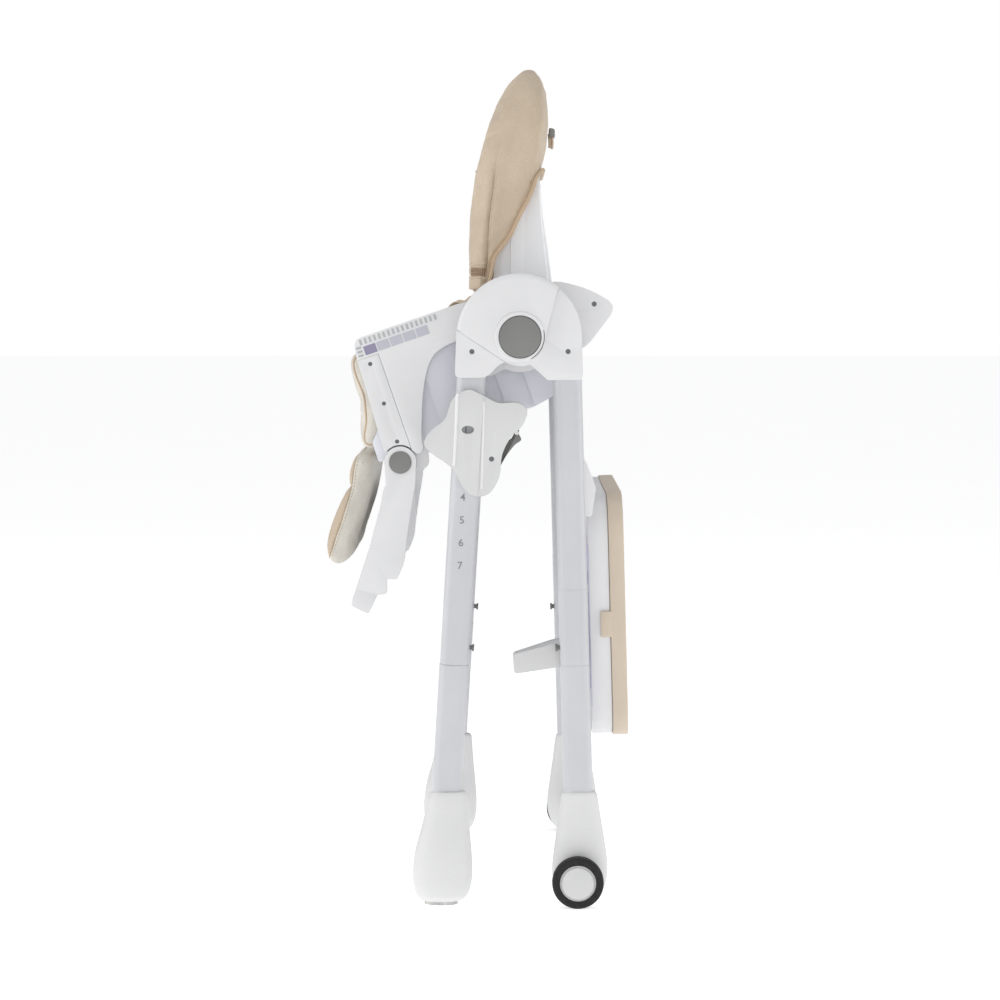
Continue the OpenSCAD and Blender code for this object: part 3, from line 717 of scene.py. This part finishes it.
def boot(node, rows):
    """A boot as one smooth shell through oval rows of (middle y, height, depth, width), with a rolled top lip."""
    side = 1 if node.endswith("left") else -1
    rows = np.array(rows, float)
    lip = rows[0] + [(0, 0.4, -6, -3.6), (0, -0.6, -2.6, -1.6), (0, -2.2, -0.4, -0.2), (0, -4.5, 0.6, 0.4)]
    dense = np.concatenate([lip, curve_through(rows, 6)[1:], [rows[-1] + (0, -0.7, -3, -3)]])
    turn = np.linspace(0, 2 * math.pi, 65)[:-1]
    rings = [[(side * LEG_X + w / 2 * math.cos(t), y + d / 2 * math.sin(t), z) for t in turn]
             for y, z, d, w in dense]
    o = piece(node + "_part", *loft(np.array(rings) * MM), BOOT, body_of[node], "white_plastic")
    o.data.set_sharp_from_angle(angle=math.radians(50))
    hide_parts(node)


for node in pair("front_boot"):
    boot(node, [(-28, 141.6, 46, 32), (-31, 105, 57, 38), (-34, 72, 69, 46), (-35, 48, 74, 48), (-35.5, 28, 73, 47),
                (-36, 14, 66, 42), (-36.6, 7, 56, 35), (-37, 4.2, 46, 27)])
for node in pair("rear_boot"):
    boot(node, [(135, 141.6, 44, 30), (135.5, 105, 54, 32), (136, 72, 64, 33.6), (136, 50, 69, 34),
                (136, 34, 68, 34), (136, 20, 60, 31), (136, 12, 50, 28), (136, 7.2, 38, 24)])

# Upright beads down the carriages where the sleeve's corners show, in a brighter plastic than the carriage: rounded
# edges with a painted highlight; and beads on the rear of the back shell
for side, tag in SIDES:
    for name, run in (("front", [(-16.4, 640), (-16.8, 619), (-18.6, 578), (-20.3, 548)]),
                      ("rear", [(15.9, 628), (15.7, 610), (14.5, 566), (13.3, 520)])):
        start = beside(side, curve_through(run, 12), 300)
        places, _ = on_surface(part(f"carriage_{tag}"), start, (-side, 0, 0), -0.9)
        rod(f"carriage_bead_{name}_{tag}", places, 1.9, BRIGHT, body_of[f"carriage_{tag}"], "white_plastic", 12)
    for reach in (62, 104):
        start = beside(side, level_line(300, 690, 300, 898, 40), reach)
        places, _ = on_surface(part("back_shell"), start, (0, -1, 0), -1.0)
        rod(f"back_bead_{reach}_{tag}", places, 2.2, SHELL, "backrest", "white_plastic", 12)
for k in range(4):
    start = np.array([(x, 0.3, (853.5 + 7 * k) * MM) for x in np.linspace(-0.036, 0.036, 24)])
    places, _ = on_surface(part("recline_handle"), start, (0, -1, 0), -0.9)
    rod(f"handle_grip_{k + 1}", places, 1.5, GREY, "handle", "grey_plastic")

# Height levers: a slim curved finger grip in place of the plain one
LEVER = [(50, 581), (53.4, 586.5), (57.6, 591.6), (60.2, 591.4), (59.6, 587.0), (62.6, 580.8), (61.0, 578.0),
         (54.8, 573.6), (47.4, 564.6), (41.4, 555.4), (36.4, 546.4), (34.6, 547.0), (35.6, 554), (38, 566), (43, 576)]
outline = closed_curve(LEVER, 72)
for side, tag in SIDES:
    rings = [[(side * x, *q) for q in outline + inward_of(outline) * inset]
             for x, inset in ((237.4, 1.6), (238, 0.7), (239, 0.15), (240.5, 0), (249.5, 0), (251, 0.15), (252, 0.7),
                              (252.6, 1.6))]
    lever = piece(f"height_lever_{tag}_grip", *loft(np.array(rings) * MM), DARK, f"lever_{tag}", "dark_plastic")
    lever.data.set_sharp_from_angle(angle=math.radians(40))
    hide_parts(f"height_lever_{tag}")

# The rails low down inside the tray base get a darker violet tone: painted shade with a blue tint.
base = part("tray_base").data
base.materials.append(TRAY_SHADE)
for p in base.polygons:
    if p.center.y < 0.1495 and p.center.z < 0.39 and abs(p.center.x) > 0.19:
        p.material_index = 1

# A dark bead in an arc beside each fold button's ring: painted shadow for the thin gap there
HUB_Y, HUB_Z, GAP_RADIUS = 61, 707, 36.3
turn = np.radians(np.linspace(18, -66, 40))
arc = np.stack([HUB_Y + GAP_RADIUS * np.cos(turn), HUB_Z + GAP_RADIUS * np.sin(turn)], 1)
for side, tag in SIDES:
    places, _ = on_surface(part(f"hub_cover_{tag}"), beside(side, arc, 300), (-side, 0, 0), 0)
    places[:, 0] -= side * (0.9 - np.sin(np.linspace(0, math.pi, 40)) ** 0.6 * 0.8) * MM
    rod(f"hub_gap_painted_shadow_{tag}", places, 0.75, DARK, body_of[f"hub_cover_{tag}"], "dark_plastic", 8)

# Stepped facets moulded into the sides of the seat shell
STEPS = (200.0, -63.4, -103.0, -147.0, -181.3, -270.0)
for side, tag in SIDES:
    bm = from_cad("seat_shell")
    bmesh.ops.delete(bm, geom=[f for f in bm.faces if f.normal.x * side < 0.99
                               or f.calc_center_median().x * side < 0.1995], context="FACES")
    weld(bm)
    for step in STEPS[1:-1]:
        slice_at(bm, Vector(seat(step, 0)), Vector(seat(1, 0) - seat(0, 0)).normalized())
    ridges = [e for e in bm.edges if not e.is_boundary and any(
        all(abs(forward(v.co) - step) < 0.01 for v in e.verts) for step in STEPS[1:-1])]
    bmesh.ops.split_edges(bm, edges=ridges)
    moved = set()
    for f in bm.faces:
        middle = forward(f.calc_center_median())
        k = next(i for i in range(len(STEPS) - 1) if STEPS[i] >= middle > STEPS[i + 1])
        for v in f.verts:
            if v not in moved:
                share = min(max((STEPS[k] - forward(v.co)) / (STEPS[k] - STEPS[k + 1]), 0), 1)
                v.co.x = side * (0.2001 + (0.1 if k == 0 else 3.0 - 2.9 * share) * MM)
                moved.add(v)
    for v in rim_of(bm):
        v.co.x = side * 0.1995
    patch(f"seat_shell_facets_{tag}", bm, LILAC, 20, "seat")

# Lower sleeves drawn over the legs, with a shallow curved rim
for base, level, rise in (("front_leg", 299.4, 2.6), ("rear_leg", 393.6, 0.6)):
    for node in pair(base):
        bm = from_cad(node)
        weld(bm)
        slice_at(bm, (0, 0, level * MM), (0, 0, 1), clear_outer=True)
        slice_at(bm, (0, 0, 0.120), (0, 0, 1), clear_inner=True)
        middle = sum(v.co.x for v in bm.verts) / len(bm.verts)
        tops = [v for v in bm.verts if abs(v.co.z - level * MM) < 1e-5]
        front, rear = min(v.co.y for v in tops), max(v.co.y for v in tops)
        centre, half = (front + rear) / 2, (rear - front) / 2
        bm.normal_update()
        for v in bm.verts:
            v.co += v.normal * 0.4 * MM
        for v in tops:
            v.co.z += rise * MM * ((v.co.y - centre) / half) ** 2
        for v in rim_of(bm):
            v.co.x += (middle - v.co.x) * 0.08
            v.co.y += (centre - v.co.y) * 0.05 if v.co.z > 0.2 else 0
        patch(node + "_sleeve", bm, TUBE, 30, body_of[node], smooth=True)

# Height numbers printed down the outer faces of the front legs
for side, tag in SIDES:
    glyphs = []
    for k in range(7):
        y, z = -9.4 - 1.27 * (k - 3), 508.8 - 28.17 * (k - 3)
        text = bpy.data.curves.new(f"number_{tag}_{k + 1}", "FONT")
        text.body = str(k + 1)
        text.size = 0.0128
        text.extrude = 0.00012
        text.offset = 0.00016
        text.align_x, text.align_y = "CENTER", "CENTER"
        o = bpy.data.objects.new(f"number_{tag}_{k + 1}", text)
        bpy.context.scene.collection.objects.link(o)
        o.location = (side * 256.05 * MM, y * MM, z * MM)
        o.rotation_euler = (math.pi / 2, 0, side * math.pi / 2)
        glyphs.append(o)
    bpy.context.view_layer.update()
    verts, faces = [], []
    for o in glyphs:
        mesh = o.to_mesh()
        base = len(verts)
        verts += [o.matrix_world @ v.co for v in mesh.vertices]
        faces += [[base + i for i in p.vertices] for p in mesh.polygons]
        o.to_mesh_clear()
        bpy.data.objects.remove(o)
    piece(f"height_numbers_{tag}", verts, faces, NUMBER, "front_frame", "print", smooth=False)

# ---------------------------------------------------------------- back cover

FRONT = np.array([(762, -4), (775, -5), (800, -5), (831, -4), (880, 0), (915, 6), (946, 15), (978, 26), (1006, 38),
                  (1030, 52), (1043, 62), (1049, 70), (1050.5, 76)])
REAR = np.array([(762, 88), (850, 89), (900, 89), (915, 90.5), (944, 95.5), (975, 98), (1003, 97.5), (1025, 94),
                 (1040, 88.5), (1048, 82), (1050.5, 77)])
SEAM = np.array([(16, 766), (18, 782), (19.5, 797), (22, 851), (27, 889), (31, 922), (38, 955), (47, 985),
                 (58, 1012), (68, 1036)])
HEM = np.array([(22, 770), (26, 784), (30, 803), (37, 814), (50, 832), (62, 857), (76, 884), (86, 914)])
COVER_HALF, COVER_TOP, ARCH = 168.0, 1051.0, 188.0
COVER_CORNER, HEM_HEIGHT = 14, 914
SHELL_FRONT = np.array([(700, 30), (770, 27), (850, 29), (920, 35), (985, 51), (1012, 62), (1024, 69), (1034, 75)])
SHELL_REAR = np.array([(700, 110), (775, 102), (822, 96), (861, 90), (900, 87), (930, 87), (985, 90), (1010, 88),
                       (1024, 83), (1034, 77)])
FRONT_LINE = np.array([(762, -5), (831, -4.5), (865, -3), (909, 2.5), (944, 11), (978, 20.5), (1002, 30),
                       (1024, 41), (1036, 50), (1046, 60), (1052, 68)])
REAR_LINE = np.array([(917, 85.5), (926, 91), (944, 95), (977, 98), (1000, 97.5), (1019, 96), (1034, 90), (1042, 85),
                      (1052, 80)])


def arch(z, half, top, rise):
    """Half width of the arched backrest at a height."""
    s = np.clip((z - (top - rise)) / rise, 0, 1) ** (1 / 0.85)
    return half * math.sqrt(max(1 - s * s, 0))


def cover_half(z):
    """Half width of the back cover at a height."""
    return arch(z, COVER_HALF, COVER_TOP, ARCH)


# Upright facets down both sides of the back shell
for side, tag in SIDES:
    rings = []
    for z in np.linspace(772, 905, 30):
        edge = np.interp(z, [772, 786, 850, 905], [49.5, 49.5, 49.5, 54])
        fold = np.interp(z, [772, 850, 905], [67.5, 67.5, 70])
        back = np.interp(z, [772, 786, 850, 905], [96.5, 95, 87.9, 84])
        skin = arch(z, 152, 1033, 190)
        profile = [(-0.6, edge - 12), (0.1, edge - 12), (0.5, edge - 0.6), (1.4, edge), (0.1, fold), (1.4, back),
                   (0.3, back + 1.2), (-0.6, back + 1.2)]
        ease = min(max((903 - z) / 22, 0.05), 1)
        rings.append([(side * (skin + max(h * ease, -0.6)), y, z) for h, y in profile])
    o = piece(f"back_shell_facets_{tag}", *loft(np.array(rings) * MM), SHELL, "backrest", "white_plastic")
    o.data.set_sharp_from_angle(angle=math.radians(3))


def box_section(z, half, front, rear, r_front, r_rear, crown=0.0):
    """A rounded rectangle in X and Y with a crowned front, as a ring of a fixed count."""
    depth = rear - front
    rf, rr = (min(r, depth * 0.48, half * 0.96) for r in (r_front, r_rear))
    points = [(x, front) for x in np.linspace(-(half - rf), half - rf, 25)]
    points += [(half - rf + rf * math.sin(t), front + rf - rf * math.cos(t)) for t in np.linspace(0.12, 1.45, 8)]
    points += [(half, y) for y in np.linspace(front + rf, rear - rr, 9)]
    points += [(half - rr + rr * math.cos(t), rear - rr + rr * math.sin(t)) for t in np.linspace(0.12, 1.45, 8)]
    points += [(x, rear) for x in np.linspace(half - rr, -(half - rr), 25)]
    points += [(-(half - rr) - rr * math.sin(t), rear - rr + rr * math.cos(t)) for t in np.linspace(0.12, 1.45, 8)]
    points += [(-half, y) for y in np.linspace(rear - rr, front + rf, 9)]
    points += [(-(half - rf) - rf * math.cos(t), front + rf - rf * math.sin(t)) for t in np.linspace(0.12, 1.45, 8)]
    out = []
    for x, y in points:
        share = max(0.0, 1 - (y - front) / max(depth, 1e-6)) ** 2
        out.append((x, y + crown * share * (x / half) ** 2 * min(1, half / 80), z))
    return np.array(out) * MM


heights = np.concatenate([np.linspace(762, 1000, 48), 1050.4 - 50.4 * np.linspace(1, 0.02, 24)[1:] ** 2])
rings = [box_section(z, max(cover_half(z), 3), at(FRONT, z), at(REAR, z), 30, COVER_CORNER, 5) for z in heights]
cover = piece("back_cover", *loft(rings), BEIGE, None)

# Its lower edge is cut along the hem, and the back shell's shape is taken out of it
below = np.concatenate([[(22, 700), (22, 766)], HEM[1:], [(92, 916), (140, 916), (140, 700)]])
blade = piece("blade", *loft([[(x, *(p * MM)) for p in below] for x in (-0.3, 0.3)]), BEIGE, None, smooth=False)
cut(cover, blade)
rings = [box_section(z, max(arch(z, 153.4, 1035, 190), 4), at(SHELL_FRONT, z), at(SHELL_REAR, z), 2, 2)
         for z in np.linspace(700, 1033.5, 60)]
cut(cover, piece("blade", *loft(rings), BEIGE, None, smooth=False))


def outside_shell(co):
    """1 on the cover's outer skin, 0 where it lies against the shell."""
    x, y, z = co.T / MM
    skin = np.maximum(np.abs(x) - 157, 0) + np.maximum(at(SHELL_FRONT, z) - 6 - y, 0)
    skin += np.maximum(y - at(SHELL_REAR, z) - 2, 0) * 1.5
    skin += np.maximum(z - 1036, 0)
    return np.clip(skin / 8, 0, 1)


puffed(cover, 4, outside_shell)

# The blown-up cover is drawn back to its side outline
co = coordinates(cover)
x, y, z = co.T / MM
bins = np.linspace(762, 1052, 74)
which = np.clip(np.digitize(z, bins), 1, len(bins) - 1)
lows = np.array([y[which == k].min() if (which == k).any() else np.nan for k in range(1, len(bins))])
highs = np.array([y[which == k].max() if (which == k).any() else np.nan for k in range(1, len(bins))])
middles = (bins[1:] + bins[:-1]) / 2
fine = ~np.isnan(lows)
low, high = np.interp(z, middles[fine], lows[fine]), np.interp(z, middles[fine], highs[fine])
ahead = at(FRONT_LINE, z) - low
behind = (at(REAR_LINE, z) - high) * np.clip((z - 912) / 12, 0, 1)
share = np.clip((y - low) / np.maximum(high - low, 1), 0, 1)
y = y + np.clip(ahead, -6, 6) * (1 - share) ** 1.5 + np.clip(behind, -6, 6) * share ** 1.5

# Sewn seams, tucks and slack in the cover's skin
seam_far, seam_side = near_curve(np.stack([y, z], 1), SEAM)
half_here = np.array([cover_half(h) for h in z])
flank = np.clip((np.abs(x) - (half_here - 26)) / 14, 0, 1)
groove = -2.8 * np.exp(-(seam_far / 2.2) ** 2) + 1.5 * np.exp(-((seam_far - 7) / 6) ** 2) * (seam_side > 0)
inward = np.sign(x) * flank
x += inward * groove * np.clip((945 - z) / 40, 0.16, 1)
tuck = np.exp(-((z - 783 - 0.10 * (y - 10)) / 2.6) ** 2) + 0.7 * np.exp(-((z - 797 - 0.25 * y) / 3.0) ** 2)
front_part = (seam_side > 0) | (seam_far < 3)
skin = outside_shell(co)
x -= np.sign(x) * 1.8 * tuck * flank * front_part * skin
y += 1.5 * tuck * (1 - flank) * (y < 25) * skin
slack = 0.55 * np.sin(z / 17 + np.abs(x) / 23) * np.sin(z / 9 + 1.7 + y / 13) * np.clip((960 - z) / 120, 0, 1)
x += inward * slack * skin
x += inward * 0.9 * np.exp(-((z - 845 - 0.9 * (y - 40)) / 5) ** 2) * skin
y -= 0.8 * slack * (1 - flank) * (y < 40) * skin
channel = sum(np.exp(-((z - level - 0.0009 * x * x) / 2.6) ** 2) for level in (868, 944))
quilt = np.clip((np.minimum(half_here, 150) - np.abs(x)) / 14, 0, 1)
y += 2.2 * np.exp(-((np.abs(x) - 50) / 16) ** 4) * np.clip((925 - z) / 15, 0, 1) * (y < at(FRONT, z) + 16)
y += 2.4 * channel * quilt * (y < at(FRONT, z) + 16)
set_coordinates(cover, np.stack([x, y, z], 1) * MM)
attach(cover, "backrest")
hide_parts("back_pad")
modified(cover, "SMOOTH", factor=0.4, iterations=1)
settle(cover)

for side, tag in SIDES:
    start = beside(side, curve_through(SEAM[:6], 8))
    places, normals = on_surface(cover, start + np.array([0, 3.0 * MM, 0]), (-side, 0, 0), 0.05)
    stitches(f"seam_stitches_{tag}", places, normals, THREAD, "backrest", "beige_fabric", radius=0.35)
    # A darker bead sunk in the seam's groove: painted shade along the seam.
    places, _ = on_surface(cover, start[2:-4], (-side, 0, 0), -0.35)
    rod(f"cover_seam_shade_bead_{tag}", places, 0.8, SEAM_SHADE_CLOTH, "backrest", "beige_fabric", 8)

# Binding round the cover's lower edge, across the back and down both sides
hem = curve_through(HEM, 6)


def cover_x(y, z):
    """Half width of the cover at a place in its side view, round its rear corner too."""
    past = max(y - at(REAR, z) + COVER_CORNER, 0)
    return cover_half(z) - COVER_CORNER + math.sqrt(max(COVER_CORNER ** 2 - past ** 2, 0)) - 0.8


side_run = [(cover_x(y, z), y - 0.8, z + 0.6) for y, z in hem][:-1]
rear, half = at(REAR, HEM_HEIGHT), cover_half(HEM_HEIGHT)
corner = [(half - 14.6 + 14 * math.cos(t), rear - 14 + 14.6 * math.sin(t), HEM_HEIGHT + 0.6)
          for t in (1.05, 1.2, 1.38, 1.55)]
across = [(x, rear + 0.6, HEM_HEIGHT + 0.6) for x in np.linspace(140, -140, 40)]
one_side = side_run + corner
path = np.array(one_side + across + [(-x, y, z) for x, y, z in one_side[::-1]]) * MM
rod("cover_binding", curve_through(path[::2], 3), 2.3, BINDING, "backrest", "beige_fabric", 12)
run = hem[4:-3]
slope = tangents(run)
out = np.stack([-slope[:, 1], slope[:, 0]], 1)
across = np.stack([np.zeros(len(run)), out[:, 0], out[:, 1]], 1)
for side, tag in SIDES:
    places, normals = on_surface(cover, beside(side, run + out * 4.2), (-side, 0, 0), 0.35)
    ribbon(f"cover_tape_{tag}", places, across, 7, 1.3, BINDING, "backrest", "beige_fabric")
    stitches(f"tape_stitches_{tag}", places + across * 2.4 * MM + normals * 0.6 * MM, normals, THREAD, "backrest",
             "beige_fabric", 3.6, 2.4, 0.35)

# A stitched tab low on each side of the cover, and folds above and below it
for side, tag in SIDES:
    places, normals = on_surface(cover, beside(side, level_line(0.5, 787.5, 18, 787, 14)), (-side, 0, 0), 0.6)
    ribbon(f"side_tab_{tag}", places, (0, 0, 1), 10.5, 1.6, TAB, "backrest", "webbing")
    for row in (-3.6, -1.8, 0, 1.8, 3.6):
        stitches(f"tab_stitches_{tag}_{int(row * 10) + 40}", places + normals * 0.85 * MM + (0, 0, row * MM),
                 normals, BROWN_THREAD, "backrest", "webbing", 2.9, 2.3, 0.6)
    for z0, z1, y1, name in ((796.5, 797, 19, "upper"), (780, 780.5, 27, "lower")):
        places, _ = on_surface(cover, beside(side, level_line(-2, z0, y1, z1, 20)), (-side, 0, 0), -0.1)
        rod(f"cover_fold_{name}_{tag}", places, 1.7, BEIGE, "backrest", "beige_fabric")

# Shoulder straps down the front of the cover, each out of a bound slot
for side, tag in SIDES:
    places, _ = on_surface(cover, beside(side, level_line(-60, 775, -60, 915, 60), 50), (0, 1, 0), 0.35)
    for k in range(3):
        places[1:-1] = (places[:-2] + 2 * places[1:-1] + places[2:]) / 4
    ribbon(f"shoulder_strap_{tag}", places, (1, 0, 0), 24, 1.3, WEBBING, "backrest", "webbing")
    for edge in (-9.5, 9.5):
        stitches(f"strap_stitches_{tag}_{'in' if edge * side < 0 else 'out'}",
                 places + (edge * MM, -0.65 * MM, 0), np.broadcast_to((0, -1.0, 0), places.shape), THREAD,
                 "backrest", "webbing", 4.2, 2.8, 0.3)
    start = np.array([(side * x * MM, -0.06, 0.9165) for x in np.linspace(36, 64, 16)])
    places, _ = on_surface(cover, start, (0, 1, 0), 0.2)
    rod(f"strap_slot_{tag}", places, 1.7, BINDING, "backrest", "beige_fabric")
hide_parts("shoulder_straps")

# An apron that closes the gap between the cover and the shell's front lip
apron = pillow("cover_apron", [(0, 769), (6, 758), (18, 747.5), (29, 740), (36.2, 734), (38.3, 735.6), (36.4, 743.5),
                               (26, 752), (16, 761.5), (9, 771)], -148, 148, 4, BEIGE)
modified(apron, "SUBSURF", levels=1, render_levels=1)
settle(apron)
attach(apron, "backrest")

# Carrying strap behind the cover, in two layers
for k, (name, y) in enumerate((("rear_strap", 103.7), ("rear_strap_under", 100.3))):
    loop = curve_through([(y - 0.6, 967), (y, 961), (y + 0.3, 955), (y - 0.2, 948.5 + 1.5 * k)], 8)
    ribbon(name, beside(0, loop), (1, 0, 0), 37 - k, 3.1, WEBBING, "backrest", "webbing")
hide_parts("back_strap")

# ---------------------------------------------------------------- seat cushions and leg flap


pad = pillow("seat_cushion", seat_yz([(33, 25), (36, 36), (30, 45), (14, 49), (-50, 47), (-118, 46), (-150, 50),
                                      (-171, 53), (-175, 46), (-165, 40.5), (-146, 39), (-128, 24), (-60, 21.5),
                                      (0, 21.5), (22, 22)]), -148, 148, 12, BEIGE, 2)
puffed(pad, 3)
co = coordinates(pad)
x, y, z = co.T / MM
f, u = in_seat(y, z)
dip = sum(np.exp(-((f - level) / 3.0) ** 2) for level in (-14, -58, -102)) * np.clip((138 - np.abs(x)) / 12, 0, 1)
dip = dip * 2.6 * (u > 36)
y, z = y + dip * math.sin(LEAN), z - dip * math.cos(LEAN)
set_coordinates(pad, np.stack([x, y, z], 1) * MM)
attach(pad, "seat")
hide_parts("seat_pad")

# Side wings with piping sewn round both edges
WING = [(26, 25), (38, 28), (40, 41), (33, 64), (27, 92), (26, 108), (24, 128), (17, 145), (-6, 151), (-60, 150),
        (-98, 149), (-113, 142), (-117, 128), (-111, 90), (-108, 60), (-108, 32), (-98, 26), (-40, 26), (0, 25)]
outline = closed_curve(seat_yz(WING), 150)
outward = np.concatenate([np.zeros((150, 1)), -inward_of(outline)], 1)
for side, tag in SIDES:
    wing = pillow(f"seat_wing_{tag}", seat_yz(WING), side * 152.5, side * 192.5, 12, CREAM, 1)
    puffed(wing, 3.5)
    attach(wing, "seat")
    for x, name in ((158.5, "inner"), (187.5, "outer")):
        places, _ = on_surface(wing, beside(side, outline, x) + outward * 12 * MM, -outward, -0.3)
        places = np.array([(places[k - 1] + places[k] + places[(k + 1) % 150]) / 3 for k in range(150)])
        rod(f"wing_piping_{name}_{tag}", np.concatenate([places, places[:2]]), 1.5, BINDING, "seat",
            "cream_fabric", 8)
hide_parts("seat_wings")

# Leg flap: cream, with a beige front sewn on along both sides
FLAP = [(-145.5, 557), (-152.5, 540), (-155.5, 524), (-154.8, 514), (-161, 504), (-170.5, 484), (-180, 459),
        (-185.5, 436), (-184, 421), (-174, 412.5), (-163, 415.5), (-152, 428), (-148, 444), (-140.5, 466),
        (-133, 490), (-127.5, 516), (-123, 542), (-121.5, 557), (-132, 561.5)]
FLAP_SEAM = np.array([(-144, 562), (-146.2, 554.5), (-150.7, 532.6), (-152.8, 514.5), (-158.1, 496.3),
                      (-165.8, 470.9), (-174.9, 445.4), (-181.6, 423.4), (-180, 412)])
flap = pillow("leg_flap_cushion", FLAP, -146, 146, 11, CREAM, 1.5)
puffed(flap, 3)
flap.data.materials.append(BEIGE)
co = coordinates(flap)
x, y, z = co.T / MM
far, where = near_curve(np.stack([y, z], 1), FLAP_SEAM)
rim = np.clip((np.abs(x) - 126) / 12, 0, 1)
x -= np.sign(x) * rim * 2.0 * np.exp(-(far / 2.4) ** 2)
y += np.clip(1 - rim, 0, 1) * 2.6 * np.exp(-((z - 513) / 3.2) ** 2) * (where < 0)
x += np.sign(x) * rim * 0.7 * np.sin(z / 6.5) * np.sin(z / 17 + 1) * (where > 0)
set_coordinates(flap, np.stack([x, y, z], 1) * MM)
centres = np.array([p.center for p in flap.data.polygons]) / MM
_, where = near_curve(centres[:, 1:], FLAP_SEAM)
for p, s in zip(flap.data.polygons, where):
    p.material_index = 1 if s < 0 else 0
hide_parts("leg_flap")
for side, tag in SIDES:
    start = beside(side, curve_through(FLAP_SEAM[1:-1], 8), 200)
    # A darker bead along the flap's seam paints shade in its groove, and stitches run beside it.
    places, _ = on_surface(flap, start, (-side, 0, 0), 0.1)
    rod(f"flap_seam_shade_bead_{tag}", places, 0.9, SEAM_SHADE_CLOTH, "flap", "beige_fabric", 8)
    places, normals = on_surface(flap, start + np.array([0, 3.4 * MM, 0]), (-side, 0, 0), 0.25)
    stitches(f"flap_stitches_{tag}", places, normals, THREAD, "flap", "cream_fabric")
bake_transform(flap)

# ---------------------------------------------------------------- harness

WAIST = [(-150, 104, 193.4), (-151, 128, 192.4), (-151, 150, 186), (-147, 160, 176), (-138, 163.5, 170),
         (-126, 160, 163), (-112, 152, 150), (-102, 130, 142), (-90, 84, 128), (-78, 61, 96), (-70, 58.5, 60),
         (-66, 58, 25)]
for side, tag in SIDES:
    line = curve_through([seat(f, u, side * x) for f, u, x in WAIST], 8)
    wide = np.stack([np.linspace(0.1, 0.0, len(line)), np.full(len(line), -math.cos(LEAN)),
                     np.full(len(line), -math.sin(LEAN))], 1)
    ribbon(f"waist_strap_{tag}", line, wide, 20, 1.6, WEBBING, "seat", "webbing")
    anchor = np.array([seat(-151, u, side * 192.6) for u in (98, 100, 118, 120)])
    plate = ribbon(f"strap_anchor_{tag}", anchor, (0, -math.cos(LEAN), -math.sin(LEAN)), 27, 4.4, DARK, "seat",
                   "dark_plastic")
    plate.data.set_sharp_from_angle(angle=math.radians(40))
crotch = curve_through([seat(*p) for p in ((-16, 47), (-20, 52.2), (-34, 54), (-56, 54.6), (-66, 54.5))], 10)
web = ribbon("crotch_strap_web", crotch, (1, 0, 0), 28, 1.8, WEBBING, "seat", "webbing")
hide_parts("crotch_strap")

# ---------------------------------------------------------------- floor

m = Nodes("studio_floor")
grey = m.mixed(m.spread(m.noise(3, 2), 0, 1), (0.9, 0.9, 0.9), (0.92, 0.92, 0.92))
m.link(grey, m.shader.inputs["Base Color"])
for socket, value in (("Roughness", 0.6), ("Specular IOR Level", 0.25), ("Emission Color", (1, 1, 1, 1)),
                      ("Emission Strength", 0.6)):
    m.shader.inputs[socket].default_value = value
floor = piece("floor", [(-30, -30, 0), (30, -30, 0), (30, 30, 0), (-30, 30, 0)], [(0, 1, 2, 3)], m.material, None,
              smooth=False)
